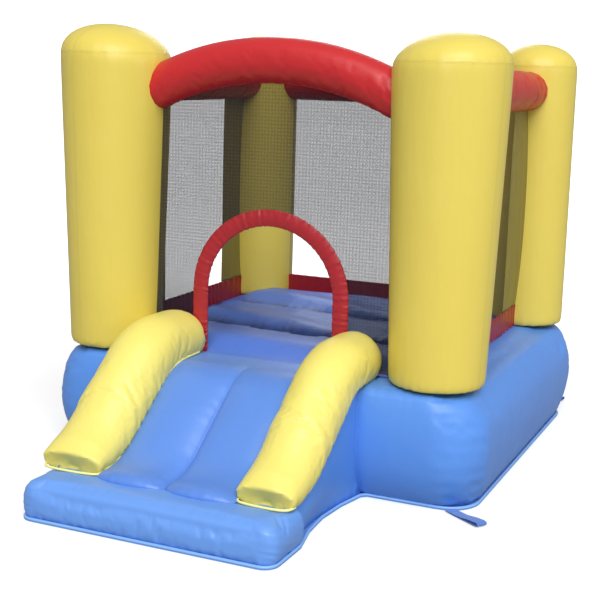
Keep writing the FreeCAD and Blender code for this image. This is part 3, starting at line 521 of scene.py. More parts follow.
def metal_finish(name, colour, rough=0.32, brushed=(1, 1, 60)):
    part = Finish(name, Metallic=1.0)
    lines = part.noise(30, 3, stretch=brushed)
    wear = part.noise(18, 4)
    tone = part.mix(wear, rgba(colour), rgba([value * 0.8 for value in colour]))
    part.set(Base_Color=tone, Roughness=lines * 0.22 + (rough - 0.1),
             Normal=part.bump(lines, 0.12, 0.0003))
    return part.material


YELLOW = cloth_finish("yellow_cloth", (0.80, 0.655, 0.125), (0.74, 0.58, 0.085))
ROLL_YELLOW = cloth_finish("yellow_roll", (0.88, 0.78, 0.20), (0.83, 0.71, 0.15))
# the side strips are yellow cloth darkened to olive: partly a darker tone of their own, partly
# painted shade
SHADED_STRIP_YELLOW = cloth_finish("yellow_strip", (0.24, 0.195, 0.045), (0.19, 0.155, 0.034))
PIPING = cloth_finish("pale_piping", (0.96, 0.92, 0.36), (0.90, 0.86, 0.30), weave=0.0016)
BLUE = cloth_finish("blue_cloth", (0.115, 0.315, 0.84), (0.088, 0.26, 0.76), coat=0.5)
SLIDE_BLUE = cloth_finish("blue_slide", (0.120, 0.28, 0.76), (0.095, 0.235, 0.68), gloss=0.36)
# the floor's second colour is a deep painted shade: mixed in at random over the floor, and laid
# strongly into its sewn valleys as painted fold shadow
SHADED_FLOOR_BLUE = cloth_finish("blue_floor", (0.105, 0.25, 0.82), (0.045, 0.11, 0.46), gloss=0.38,
                          wrinkle=0.9, seam_dark_and_shade=0.95)
FOOT_BLUE = cloth_finish("blue_foot", (0.155, 0.35, 0.83), (0.125, 0.30, 0.77), gloss=0.36)
HEM_BLUE = cloth_finish("pale_hem", (0.25, 0.48, 0.90), (0.20, 0.42, 0.86), weave=0.0016)
INNER_BLUE = cloth_finish("inner_cloth", (0.10, 0.2, 0.6), (0.08, 0.18, 0.52))
RED = cloth_finish("red_cloth", (0.60, 0.020, 0.024), (0.49, 0.012, 0.016), gloss=0.40,
                   coat=0.6)
# the skirts' red is darker than the beams' red: painted shade for the skirts low inside the walls
SHADED_SKIRT_RED = cloth_finish("red_strip", (0.36, 0.010, 0.015), (0.28, 0.007, 0.011))
TRIM_RED = cloth_finish("red_binding", (0.46, 0.018, 0.028), (0.30, 0.008, 0.014), wrinkle=1.6)
NET = net_finish("mesh_net", (0.008, 0.010, 0.018), 0.06, 0.04, 0.05)
FRONT_NET = net_finish("mesh_net_close", (0.008, 0.010, 0.018), 0.36, 0.10, 0.07)
STRAP = webbing_finish("blue_webbing", (0.09, 0.24, 0.74))
DARK_STRAP = webbing_finish("dark_webbing", (0.03, 0.03, 0.035))
ZIP_CLOTH = webbing_finish("zip_cloth", (0.025, 0.025, 0.03))
ZIP_PLASTIC = moulded_finish("zip_plastic", (0.02, 0.02, 0.022), 0.35)
ZIP_METAL = metal_finish("zip_metal", (0.33, 0.34, 0.36), 0.35, (1, 1, 1))
BLOWER = moulded_finish("blower_plastic", (0.50, 0.03, 0.025), 0.42)
BLOWER_DARK = moulded_finish("blower_dark", (0.022, 0.022, 0.026), 0.5)
IMPELLER = moulded_finish("impeller_plastic", (0.06, 0.06, 0.07), 0.4)
MOTOR = metal_finish("motor_metal", (0.17, 0.18, 0.19), 0.45, (1, 1, 1))
STEEL = metal_finish("shaft_steel", (0.6, 0.6, 0.6))
SWITCH = moulded_finish("switch_red", (0.68, 0.02, 0.015), 0.22, 600, 0.05)
RUBBER = moulded_finish("rubber_black", (0.014, 0.014, 0.014), 0.7, 500, 0.4)

# ------------------------------------------------------------ camera, light, floor

def set_camera():
    yaw, pitch, roll = (math.radians(value) for value in (23.72, -11.04, 1.66))
    ahead = Vector((-math.sin(yaw) * math.cos(pitch), math.cos(yaw) * math.cos(pitch),
                    math.sin(pitch)))
    right = Vector((math.cos(yaw), math.sin(yaw), 0))
    up = right.cross(ahead)
    level_right = right * math.cos(roll) + up * math.sin(roll)
    level_up = up * math.cos(roll) - right * math.sin(roll)
    lens = bpy.data.cameras.new("camera")
    lens.sensor_width = 36
    lens.lens = 73.03
    camera = bpy.data.objects.new("camera", lens)
    scene.collection.objects.link(camera)
    turned = Matrix((level_right, level_up, -ahead)).transposed().to_4x4()
    camera.matrix_world = Matrix.Translation((2.143, -5.267, 1.72)) @ turned
    scene.camera = camera


def add_light(name, kind, power, place, aim):
    lamp = bpy.data.lights.new(name, kind)
    lamp.energy = power
    holder = bpy.data.objects.new(name, lamp)
    scene.collection.objects.link(holder)
    holder.location = place
    holder.rotation_euler = (Vector(aim) - Vector(place)).to_track_quat("-Z", "Y").to_euler()
    return lamp


def add_panel(name, place, aim, side, power):
    lamp = add_light(name, "AREA", power, place, aim)
    lamp.shape = "SQUARE"
    lamp.size = side


def camera_only(*pieces):
    """Shown, but neither lit from nor shading anything."""
    for piece in pieces:
        piece.visible_diffuse = False
        piece.visible_glossy = False
        piece.visible_shadow = False


def set_studio():
    scene.view_settings.view_transform = "Standard"
    world = bpy.data.worlds.new("studio")
    scene.world = world
    world.use_nodes = True
    sky = world.node_tree.nodes["Background"].inputs
    sky["Color"].default_value = (1, 1, 1, 1)
    sky["Strength"].default_value = 0.36
    soft = add_light("soft_front", "SUN", 2.5, (0, 0, 0), (-0.335, 0.58, -0.743))
    soft.angle = math.radians(45)
    add_panel("key", (1.8, -6.8, 3.6), (0, -0.6, 0.9), 1.6, 60)
    add_panel("side", (6.0, -1.5, 3.2), (0.4, 0, 0.8), 2.0, 40)
    add_panel("behind", (-2.5, 7.0, 4.5), (0, 1.0, 0.7), 3.0, 70)
    # the floor that shows, pale and even
    shown = studio_floor("studio_floor", -0.001, 0.62, 1.0)
    # the darker floor under it that returns a little light
    bounce = studio_floor("studio_bounce", -0.004, 0.36, 0.0)
    bounce.visible_camera = False
    nothing_selected()
    bpy.ops.mesh.primitive_cylinder_add(vertices=64, radius=29, depth=12, end_fill_type="NOTHING",
                                        location=(0, 0, 5.9))
    backdrop = named("studio_backdrop")
    white = Finish("white_backdrop", Roughness=1.0, Emission_Strength=1.5)
    white.set(Base_Color=(0, 0, 0, 1), Emission_Color=(1, 1, 1, 1))
    backdrop.data.materials.append(white.material)
    camera_only(shown, backdrop)


def studio_floor(name, level, tone, glow):
    """A flat floor that glows a little more away from the object."""
    nothing_selected()
    bpy.ops.mesh.primitive_plane_add(size=60, location=(0, 0, level))
    ground = named(name)
    pale = Finish(name, Roughness=0.9, Emission_Strength=glow)
    x, y, _ = pale.axes()
    far = pale.node("ShaderNodeClamp", None, {"Value": (x * x + y * y - 5.0) * 0.10})
    pale.set(Base_Color=(tone, tone, tone, 1),
             Emission_Color=pale.mix(far, (0.45, 0.45, 0.45, 1), (1, 1, 1, 1)))
    ground.data.materials.append(pale.material)
    return ground


set_camera()
set_studio()

# ------------------------------------------------------------ corner posts

def round_the(centre_x, centre_y, radius, level):
    """The level seam round an upright post."""
    def seam(points):
        angle = np.arctan2(points[:, 1] - centre_y, points[:, 0] - centre_x)
        return np.abs(points[:, 2] - level), angle * radius
    return seam


def upright_seam(centre_x, centre_y, angle):
    """A seam that runs up a post on one side."""
    across = Vector((-math.sin(angle), math.cos(angle)))
    out = Vector((math.cos(angle), math.sin(angle)))

    def seam(points):
        x, y = points[:, 0] - centre_x, points[:, 1] - centre_y
        away = np.abs(x * across.x + y * across.y)
        away = np.where(x * out.x + y * out.y > 0, away, 1.0)
        return away, points[:, 2]
    return seam


SHOULDER = 1.23                 # height of a post's shoulder above its foot
DOME = ((-0.10, 1.0), (0.10, 1.0), (0.24, 0.985), (0.37, 0.952), (0.50, 0.895), (0.655, 0.79),
        (0.79, 0.65), (0.90, 0.465), (0.965, 0.28), (0.992, 0.11))


def make_post(name, node, foot_radius, fatter=0.0, taller=0.0, tilt=0.0):
    """A tapered, domed post, sewn down round its foot; tilt leans its dome."""
    low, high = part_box(node)
    x, y = middle_of(node, 0), middle_of(node, 1)
    top_radius = (high.x - low.x) / 2 + fatter
    foot = low.z
    shoulder = foot + SHOULDER
    stations = [((x, y, foot + rise), 0, foot_radius * share)
                for rise, share in ((0.002, 0.955), (0.010, 0.985), (0.030, 1.0))]
    rows = 18
    for row in range(1, rows):
        share = row / rows
        stations.append(((x, y, foot + 0.03 + (shoulder - foot - 0.06) * share), 0,
                         foot_radius + (top_radius - foot_radius) * share))
    crown = high.z + taller - shoulder
    for rise, share in DOME:
        stations.append(((x, y, shoulder + crown * rise), 0, top_radius * share))
    post = tube_run(name, stations, 48, "Z", (0, 0, 0))
    foot_seam = round_the(x, y, top_radius, foot)
    crown_seam = round_the(x, y, top_radius, shoulder + crown * 0.24)
    back_seam = upright_seam(x, y, math.atan2(y, x) + 0.5)

    def sewn(points):
        away, _ = foot_seam(points)
        return 1 - step_edge(0.10, 0.32, away)

    blow_up(post, 0.015, sewn, 0.008, slack=0.002)
    smooth_over(post)
    pucker(post, foot_seam, 0.040, 0.0014, 0.052, 1.3)
    pucker(post, crown_seam, 0.034, 0.0007, 0.060, 2.9)
    press_in(post, back_seam, 0.005, 0.0012)
    points = points_of(post)
    points[:, 2] += (points[:, 0] - x) * tilt * step_edge(shoulder - 0.25, shoulder + 0.05,
                                                          points[:, 2])
    put_points(post, points)
    mark_seam(post, (foot_seam, 0.020), (crown_seam, 0.005), (back_seam, 0.005))
    dress(post, YELLOW, nodes=[node])


make_post("front_left_post", "post_front_left", 0.202, 0.006, 0.006, -0.10)
make_post("front_right_post", "post_front_right", 0.195, 0.0, -0.004, 0.06)
make_post("rear_left_post", "post_rear_left", 0.195)
make_post("rear_right_post", "post_rear_right", 0.190, -0.012, -0.012)

# ------------------------------------------------------------ red beams

def make_front_beam():
    """The arched beam, its ends rounded against the posts."""
    y, bend = middle_of("beam_front", 1), BEAM_BEND
    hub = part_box("beam_front")[1].z - BEAM_RADIUS - bend
    half = math.asin(0.548 / bend)

    def at(swing):
        return (bend * math.sin(swing), y, hub + bend * math.cos(swing))

    steps = 26
    run = [(at(-half + 2 * half * step / steps), -half + 2 * half * step / steps, BEAM_RADIUS)
           for step in range(steps + 1)]
    out = (math.cos(half), 0, -math.sin(half))
    head = rounded_end(run[0][0], (-out[0], 0, out[2]), -half, BEAM_RADIUS, 0.05)
    tail = rounded_end(run[-1][0], out, half, BEAM_RADIUS, 0.05, start=False)
    beam = tube_run("front_beam", head + run + tail, 32, "Y", (0, math.pi / 2 - half, 0))

    def end_seam(points):
        swing = np.arctan2(points[:, 0], points[:, 2] - hub)
        round_it = np.arctan2(points[:, 1] - y,
                              np.hypot(points[:, 0], points[:, 2] - hub) - bend)
        return np.abs(half - np.abs(swing)) * bend, round_it * BEAM_RADIUS

    def under_seam(points):
        out_by = np.hypot(points[:, 0], points[:, 2] - hub) - bend
        along = np.arctan2(points[:, 0], points[:, 2] - hub) * bend
        return np.where(out_by < 0, np.abs(points[:, 1] - y), 1.0), along

    finish_beam(beam, end_seam, under_seam, "beam_front")


def make_straight_beam(name, node, axis):
    """A level beam along X or Y between two posts."""
    low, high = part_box(node)
    middle = (low + high) / 2
    reach = (high[axis] - low[axis]) / 2 - 0.012
    way = Vector((1, 0, 0)) if axis == 0 else Vector((0, 1, 0))
    first_turn = (0, math.pi / 2, 0) if axis == 0 else (-math.pi / 2, 0, 0)
    steps = 20
    run = [(tuple(middle + way * reach * (2 * step / steps - 1)), 0, BEAM_RADIUS)
           for step in range(steps + 1)]
    head = rounded_end(run[0][0], -way, 0, BEAM_RADIUS, 0.05)
    tail = rounded_end(run[-1][0], way, 0, BEAM_RADIUS, 0.05, start=False)
    beam = tube_run(name, head + run + tail, 32, "Z", first_turn)
    other = 1 - axis

    def end_seam(points):
        away = np.abs(reach - np.abs(points[:, axis] - middle[axis]))
        round_it = np.arctan2(points[:, other] - middle[other], points[:, 2] - middle.z)
        return away, round_it * BEAM_RADIUS

    def under_seam(points):
        below = points[:, 2] < middle.z
        return np.where(below, np.abs(points[:, other] - middle[other]), 1.0), points[:, axis]

    finish_beam(beam, end_seam, under_seam, node)


def finish_beam(beam, end_seam, under_seam, node):
    def sewn(points):
        away, _ = under_seam(points)
        end, _ = end_seam(points)
        return np.maximum(1 - step_edge(0.004, 0.02, away), 0.5 * (1 - step_edge(0, 0.01, end)))

    blow_up(beam, 0.011, sewn, 0.007, slack=0.012)
    smooth_over(beam)
    pucker(beam, under_seam, 0.035, 0.0018, 0.040, 4.1)
    pucker(beam, end_seam, 0.030, 0.0015, 0.036, 0.7)
    press_in(beam, end_seam, 0.005, 0.0025)
    mark_seam(beam, (under_seam, 0.016), (end_seam, 0.012))
    dress(beam, RED, nodes=[node])


make_front_beam()
make_straight_beam("rear_beam", "beam_rear", 0)
make_straight_beam("left_beam", "beam_left", 1)
make_straight_beam("right_beam", "beam_right", 1)

# ------------------------------------------------------------ base and floor

def pillow(name, middle, corner, sections, cuts):
    """A closed cushion on a rounded rectangle: (height, half width, half depth) sections."""
    height, half_x, half_y = sections[0]
    nothing_selected()
    bpy.ops.mesh.primitive_plane_add(size=2, location=(middle[0], middle[1], height))
    piece = named(name)
    piece.scale = (half_x, half_y, 1)
    settle(piece)
    edit_all()
    bpy.ops.mesh.bevel(offset=corner, offset_type="OFFSET", segments=9, affect="VERTICES")
    end_edit()
    for edge in piece.data.edges:
        ends = [piece.data.vertices[index].co for index in edge.vertices]
        edge.select = (ends[0] - ends[1]).length > corner * 0.6
    for face in piece.data.polygons:
        face.select = False
    bpy.ops.object.mode_set(mode="EDIT")
    bpy.ops.mesh.select_mode(type="EDGE")
    bpy.ops.mesh.subdivide(number_cuts=cuts)
    bpy.ops.mesh.select_mode(type="FACE")
    bpy.ops.mesh.select_all(action="SELECT")
    centre = (middle[0], middle[1])
    for level, wide, deep in sections[1:]:
        bpy.ops.mesh.extrude_region_move(
            TRANSFORM_OT_translate={"value": (0, 0, level - height)})
        bpy.ops.transform.resize(value=(wide / half_x, deep / half_y, 1),
                                 center_override=(*centre, level))
        height, half_x, half_y = level, wide, deep
    end_edit()
    return tidy_normals(piece)


SIDE_BULGE, END_BULGE = base_high.x - 0.008, base_high.y
BASE_BEND = 0.17 * 0.92         # the radius of its corners


def make_base():
    """The barrel-sided air cushion under the floor."""
    # height, and how far the side and the end stand back from their bulge
    profile = ((0.003, 0.045, 0.092), (0.035, 0.032, 0.066), (0.080, 0.020, 0.040),
               (0.140, 0.008, 0.015), (0.200, 0.0015, 0.003), (0.260, 0.0, 0.0),
               (0.320, 0.004, 0.002), (0.375, 0.014, 0.007), (0.415, 0.027, 0.014),
               (0.445, 0.046, 0.026), (0.464, 0.074, 0.046), (0.471, 0.112, 0.085),
               (0.473, 0.180, 0.150), (0.473, 0.380, 0.350))
    sections = [(z, SIDE_BULGE - side, END_BULGE - end) for z, side, end in profile]
    base = pillow("base_cushion", (0, 0), BASE_BEND, sections, 40)

    def round_it(points):
        sideways = np.abs(points[:, 0]) / SIDE_BULGE > np.abs(points[:, 1]) / END_BULGE
        return np.where(sideways, points[:, 1], points[:, 0])

    def ground_seam(points):
        return np.abs(points[:, 2]), round_it(points)

    def deck_seam(points):
        side = np.maximum(np.abs(points[:, 0]) - (SIDE_BULGE - 0.055), 0)
        end = np.maximum(np.abs(points[:, 1]) - (END_BULGE - 0.06), 0)
        return np.hypot(np.hypot(side, end), points[:, 2] - 0.470), round_it(points)

    def slide_seams(points):
        front = points[:, 1] < -0.5
        away = np.abs(np.abs(points[:, 0]) - SLIDE_HALF)
        return np.where(front, away, 1.0), points[:, 2]

    def sewn(points):
        ground, _ = ground_seam(points)
        deep = (np.abs(points[:, 0]) < 0.80) & (points[:, 2] > 0.4)
        slide, _ = slide_seams(points)
        held = np.maximum(1 - step_edge(0.004, 0.03, ground), deep * 1.0)
        return np.maximum(held, 1 - step_edge(0.004, 0.02, slide))

    blow_up(base, 0.0165, sewn, 0.012, push=3.0, slack=0.003)

    def above_ground(points):
        return 1.0 * (np.abs(points[:, 2]) > 0.001)

    def beside_slide(points):
        return 0.22 + 0.78 * (points[:, 1] < -0.7) * (
            np.abs(np.abs(points[:, 0]) - 0.55) < 0.12)

    def corner_line(points):
        return np.abs(points[:, 2] - 0.26), points[:, 2]

    def at_corners(points):
        return step_edge(0.82, 0.94, np.abs(points[:, 0])) * step_edge(
            0.70, 0.86, np.abs(points[:, 1]))

    pucker(base, ground_seam, 0.060, 0.0036, 0.060, 2.2, above_ground)
    pucker(base, deck_seam, 0.070, 0.0050, 0.032, 5.2, beside_slide)
    pucker(base, corner_line, 0.075, 0.0030, 0.030, 3.3, at_corners)
    press_in(base, slide_seams, 0.010, 0.010)
    mark_seam(base, (ground_seam, 0.035), (deck_seam, 0.045), (slide_seams, 0.012))
    dress(base, BLUE, nodes=["base_wall"])


make_base()

SEAMS = (-0.233, 0.233)         # where the floor is sewn down to its webs


def make_floor():
    """The jumping floor: cells side to side, with valleys where they are sewn down."""
    back, front, half = POST_Y + 0.003, FRONT - 0.022, POST_X + 0.003

    def bend(x, y):
        """y, as the curved seams see it."""
        return y + 0.030 * np.sin(3.2 * x + 0.6) - 0.03 * x

    def level(x, y):
        bent = bend(x, y)
        ends = [front - 0.25, *SEAMS, back + 0.16]
        rise = np.zeros_like(x)
        for start, stop in zip(ends, ends[1:]):
            share = np.clip((bent - start) / (stop - start), 0, 1)
            inside = (bent >= start) & (bent <= stop)
            arch = (1 - np.abs(2 * share - 1) ** 2.6) ** 0.55
            rise = np.where(inside, arch, rise)
        edge = (1 - step_edge(0.60, half, np.abs(x))) * (1 - step_edge(0.60, back, y))
        edge = edge * step_edge(front, front + 0.22, y)
        near = np.minimum(np.abs(bent - SEAMS[0]), np.abs(bent - SEAMS[1]))
        wrinkle = 0.0050 * np.sin(x * 31 + 2 * np.sin(y * 9)) * np.exp(-near / 0.07)
        wave = 0.0060 * np.sin(y * 24 + 3.0 * np.sin(x * 3.1)) * step_edge(-0.5, -0.1, y)
        return DECK + 0.002 + (floor_top + 0.014 - DECK) * rise * edge + (
            wrinkle + wave) * edge

    def point(u, v):
        x = (2 * u - 1) * half
        y = front + (back - front) * v
        return np.stack([x, y, level(x, y)], axis=1)

    floor = cloth_grid("jumping_floor", 150, 160, point)
    valleys = []
    for place in SEAMS:
        def valley(points, place=place):
            return np.abs(bend(points[:, 0], points[:, 1]) - place), points[:, 0]

        pucker(floor, valley, 0.07, 0.0040, 0.055, 3 + place)
        valleys.append((valley, 0.050))
    # these valley marks carry the floor finish's painted fold shadow into the valleys
    mark_seam(floor, *valleys)
    thicken(floor, CLOTH, -1)
    dress(floor, SHADED_FLOOR_BLUE, nodes=["jump_floor"])


make_floor()

# ------------------------------------------------------------ slide

def slide_run(start, lift, end, step=0.02):
    """Points and tilts down the slide: level, over the brow, down and level again."""
    drop = BROW_BEND * (1 - math.cos(SLOPE))
    rise = RUNOUT_BEND * (1 - math.cos(SLOPE))
    top, low = DECK + lift, FOOT_TOP + lift
    across_brow = BROW_BEND * math.sin(SLOPE)
    straight = (top - low - drop - rise) / math.tan(SLOPE)
    across_runout = RUNOUT_BEND * math.sin(SLOPE)
    run = []
    y = start
    while y > end:
        if y > BROW:
            run.append((y, top, 0))
        elif y > BROW - across_brow:
            tilt = math.asin((BROW - y) / BROW_BEND)
            run.append((y, top - BROW_BEND * (1 - math.cos(tilt)), tilt))
        elif y > BROW - across_brow - straight:
            run.append((y, top - drop - (BROW - across_brow - y) * math.tan(SLOPE), SLOPE))
        elif y > BROW - across_brow - straight - across_runout:
            left = across_runout - (BROW - across_brow - straight - y)
            tilt = math.asin(min(1, left / RUNOUT_BEND))
            run.append((y, low + RUNOUT_BEND * (1 - math.cos(tilt)), tilt))
        else:
            run.append((y, low, 0))
        y -= step * math.cos(run[-1][2])
    return run


def slide_height(y, lift=0.0):
    """Height and tilt of the slide line at any y, as arrays."""
    run = slide_run(-0.60, lift, -1.75, 0.004)
    ys, zs, tilts = np.array(run)[::-1].T
    return np.interp(y, ys, zs), np.interp(y, ys, tilts)


def lean(piece):
    """The whole slide stands a little to the left at its foot."""
    points = points_of(piece)
    points[:, 0] -= LEAN * step_edge(LEAN_FROM, LEAN_TO, -points[:, 1])
    put_points(piece, points)
    return piece


def make_bed():
    """The sliding bed: two long air chambers with one seam between them."""
    half, top_end = bed_high.x, FRONT - 0.018

    def point(u, v):
        x = (2 * u - 1) * half
        lobe = np.abs(2 * np.abs(2 * u - 1) - 1)
        lower = -1.525 - 0.055 * np.sqrt(np.clip(1 - lobe ** 2, 0, 1))
        y = top_end + (lower - top_end) * v
        base, tilt = slide_height(y)
        length = np.abs(y - lower)
        close = np.clip(length / 0.060, 0, 1)
        ending = np.sqrt(np.clip(1 - (1 - close) ** 2, 0, 1))
        upper = step_edge(0.06, 0.46, top_end - y)
        puff = (1 - lobe ** 2.4) ** 0.62
        rise = 0.040 * puff * ending * upper + 0.003 * ending
        return np.stack([x, y - np.sin(tilt) * rise, base + np.cos(tilt) * rise], axis=1)

    bed = cloth_grid("sliding_bed", 110, 180, point)
    def middle(points):
        return np.abs(points[:, 0]), points[:, 1]

    def lower_seam(points):
        return np.abs(points[:, 1] + 1.555), points[:, 0]

    pucker(bed, middle, 0.045, 0.0009, 0.050, 1.9)
    pucker(bed, lower_seam, 0.055, 0.0014, 0.050, 0.4)
    mark_seam(bed, (middle, 0.010), (lower_seam, 0.03))
    thicken(bed, CLOTH, -1)
    lean(bed)
    dress(bed, SLIDE_BLUE, nodes=["slide_bed"])


def make_bolster(name, node, side, fatter):
    """A fat side roll, sewn down along the slide and blunt at its lower end."""
    low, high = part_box(node)
    x, radius = middle_of(node, 0), (high.x - low.x) / 2
    lift = high.z - radius - DECK
    run = slide_run(high.y - 0.045, lift, low.y + 0.035, 0.028)
    stations = [((x, y, z), tilt, radius) for y, z, tilt in run]
    first, last = run[0], run[-1]
    head = sewn_end((x, first[0], first[1]), 1, 0, radius, 0.05, lift * 0.75)
    tail = sewn_end((x, last[0], last[1]), -1, last[2], radius, 0.055, lift * 0.95)[::-1]
    roll = tube_run(name, head + stations + tail, 40, "X", (math.pi / 2, 0, 0))
    # flat where it is sewn to the slide
    points = points_of(roll)
    ground, _ = slide_height(points[:, 1], -0.012)
    points[:, 2] = np.maximum(points[:, 2], ground)
    # thinner towards its lower end, which reaches out on to the foot
    thin = 1 - 0.36 * step_edge(1.27, 1.53, -points[:, 1])
    points[:, 2] = ground + (points[:, 2] - ground) * thin
    points[:, 1] -= 0.030 * step_edge(1.30, 1.48, -points[:, 1])
    # and rounds off at its nose
    nose = np.clip((-points[:, 1] - 1.485) / 0.070, 0, 1)
    points[:, 2] = ground + (points[:, 2] - ground) * (1 - 0.42 * nose ** 2)
    outward = (np.abs(points[:, 0]) - (abs(x) - radius)) * (fatter - 1)
    points[:, 0] += side * outward
    put_points(roll, points)

    def side_seams(points):
        line, tilt = slide_height(points[:, 1], 0.004)
        away = np.abs(points[:, 2] - line) * np.cos(tilt)
        return away, points[:, 1] / np.maximum(np.cos(tilt), 0.5)

    def end_seam(points):
        return np.hypot(points[:, 1] - low.y + 0.05, points[:, 2] - FOOT_TOP), points[:, 0]

    def sewn(points):
        line, _ = slide_height(points[:, 1], 0.004)
        beside = 1 - step_edge(0.0, 0.022, points[:, 2] - line)
        return np.maximum(beside, step_edge(1.22, 1.53, -points[:, 1]))

    blow_up(roll, 0.0105, sewn, 0.010, slack=0.02)
    smooth_over(roll)
    pucker(roll, side_seams, 0.040, 0.0030, 0.046, 2.6)
    pucker(roll, end_seam, 0.050, 0.0012, 0.040, 1.1)
    mark_seam(roll, (side_seams, 0.014), (end_seam, 0.04))
    lean(roll)
    dress(roll, ROLL_YELLOW, nodes=[node])


def bent_cord(name, kind, points, radius, closed=False):
    """A round cord along points: a smooth curve by them, or a POLY line through them."""
    nothing_selected()
    bpy.ops.curve.primitive_nurbs_path_add()
    piece = named(name)
    curve = piece.data
    curve.splines.clear()
    spline = curve.splines.new(kind)
    spline.points.add(len(points) - 1)
    for spot, place in zip(spline.points, points):
        spot.co = (*place, 1)
    spline.use_endpoint_u = not closed
    spline.use_cyclic_u = closed
    spline.order_u = 4
    curve.dimensions = "3D"
    curve.resolution_u = 6
    curve.bevel_depth = radius
    curve.bevel_resolution = 3
    curve.use_fill_caps = not closed
    piece.matrix_world = Matrix.Identity(4)
    only(piece)
    bpy.ops.object.convert(target="MESH")
    return bpy.context.object


def make_piping(name, side, fatter):
    """The pale piping down a roll's inner edge and round its lower end."""
    points = [(side * 0.297, y, z) for y, z, _ in slide_run(-0.775, 0.010, -1.47, 0.05)]
    level, outer = FOOT_TOP + 0.008, 0.527 + 0.24 * (fatter - 1)
    points += [(side * 0.290, -1.500, level), (side * 0.298, -1.534, level),
               (side * 0.405, -1.543, level), (side * (outer - 0.048), -1.541, level),
               (side * (outer - 0.018), -1.526, level),
               (side * (outer - 0.014), -1.490, level + 0.002)]
    dress(lean(bent_cord(name, "NURBS", points, 0.0050)), PIPING)


def make_slide_side(name, node, side):
    """The upright blue side of the slide, swelling out a little."""
    def point(u, v):
        y = -0.835 - 0.680 * u
        top, _ = slide_height(y, 0.012)
        x_low = SLIDE_HALF - 0.046 * np.sin(math.pi * u) + 0.015 * u
        x_high = 0.475 + 0.005 * u
        swell = 0.026 * np.sin(math.pi * np.clip(v, 0, 1)) ** 0.8 * np.sin(
            math.pi * np.clip(0.04 + u * 0.9, 0, 1)) ** 0.5
        x = (x_low + (x_high - x_low) * v + swell) * side
        z = 0.003 + (top - 0.003) * v
        return np.stack([x, y, z], axis=1)

    panel = cloth_grid(name, 90, 60, point)

    def base_seam(points):
        return np.abs(points[:, 1] + 0.86), points[:, 2]

    def low_seam(points):
        return points[:, 2], points[:, 1]

    pucker(panel, base_seam, 0.035, 0.0028, 0.050, 3.0)
    pucker(panel, low_seam, 0.035, 0.0024, 0.055, 1.0)
    mark_seam(panel, (base_seam, 0.012), (low_seam, 0.015))
    tidy_normals(lean(panel))
    thicken(panel, CLOTH)
    dress(panel, BLUE, nodes=[node])


def make_foot():
    """The low cushion that the slide runs out on to."""
    front, back = foot_low.y, foot_high.y + 0.075
    middle = (0, (front + back) / 2)
    half_x, half_y = foot_high.x, (back - front) / 2
    # height, and how far it stands back from its widest
    profile = ((0.003, 0.006), (0.020, -0.006), (0.050, -0.012), (0.085, -0.012),
               (0.112, -0.006), (0.130, 0.004), (0.142, 0.016), (0.1475, 0.032),
               (0.1495, 0.060))
    sections = [(z * FOOT_TOP / 0.15, half_x - inset, half_y - max(inset, 0.002))
                for z, inset in profile]
    foot = pillow("foot_cushion", middle, 0.045, sections, 30)

    def low_seam(points):
        sideways = np.abs(points[:, 0]) > half_x - 0.03
        return points[:, 2], np.where(sideways, points[:, 1], points[:, 0])

    def sewn(points):
        hidden = (points[:, 1] > back - 0.12) * 1.0
        return np.maximum(1 - step_edge(0.003, 0.02, points[:, 2]), hidden)

    blow_up(foot, 0.0085, sewn, 0.008, slack=0.012)
    smooth_over(foot)

    def above_ground(points):
        return points[:, 2] > 0.004

    def ends(points):
        away = np.abs(np.abs(points[:, 0]) - half_x - 0.01)
        return away, points[:, 2] * 1.3 + points[:, 1] * 0.4

    pucker(foot, low_seam, 0.040, 0.0016, 0.050, 2.4, above_ground)
    pucker(foot, ends, 0.045, 0.0014, 0.040, 0.2)
    mark_seam(foot, (low_seam, 0.018))
    lean(foot)
    dress(foot, FOOT_BLUE, nodes=["slide_foot"])


make_bed()
for word, side in (("left", -1), ("right", 1)):
    fatter = 1.14 if side < 0 else 1.0
    make_bolster(f"{word}_side_roll", f"bolster_{word}", side, fatter)
    make_piping(f"{word}_roll_piping", side, fatter)
    make_slide_side(f"{word}_slide_side", f"slide_side_{word}", side)
make_foot()

# ------------------------------------------------------------ walls: skirts, strips, nets

def wall_points(place, u, v, low, high, axis, bow=0.0, ripple=0.0, pitch=0.05):
    """Points of an upright panel at x or y equal to place, bowed out and rippled."""
    along = low[0] + (high[0] - low[0]) * u
    level = low[1] + (high[1] - low[1]) * v
    swell = bow * np.sin(math.pi * u) * np.sin(math.pi * v)
    folds = ripple * np.sin(2 * math.pi * along / pitch + 2 * np.sin(along * 17 + level * 5))
    edge = np.exp(-np.minimum(v, 1 - v) / 0.25)
    out = place + swell + folds * edge
    if axis == 0:
        return np.stack([out, along, level], axis=1)
    return np.stack([along, out, level], axis=1)


def make_panel(name, node, finish, place, low, high, axis, cells, bow=0.0, ripple=0.0,
               pitch=0.05, thickness=0.0008):
    """A flat cloth wall piece, sewn between its neighbours."""
    panel = cloth_grid(name, *cells, lambda u, v: wall_points(
        place, u, v, low, high, axis, bow, ripple, pitch))

    def level_seams(points):
        z = points[:, 2]
        return np.minimum(np.abs(z - low[1]), np.abs(z - high[1])), points[:, 0]

    if thickness > NETTING:
        mark_seam(panel, (level_seams, 0.012))
    thicken(panel, thickness)
    dress(panel, finish, nodes=[node])
    return panel


strip_low, strip_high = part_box("side_strip_right_front")
SKIRT_TOP = strip_low.z
WALL_TOP = strip_high.z + 0.012
NET_REACH = abs(strip_high.y)

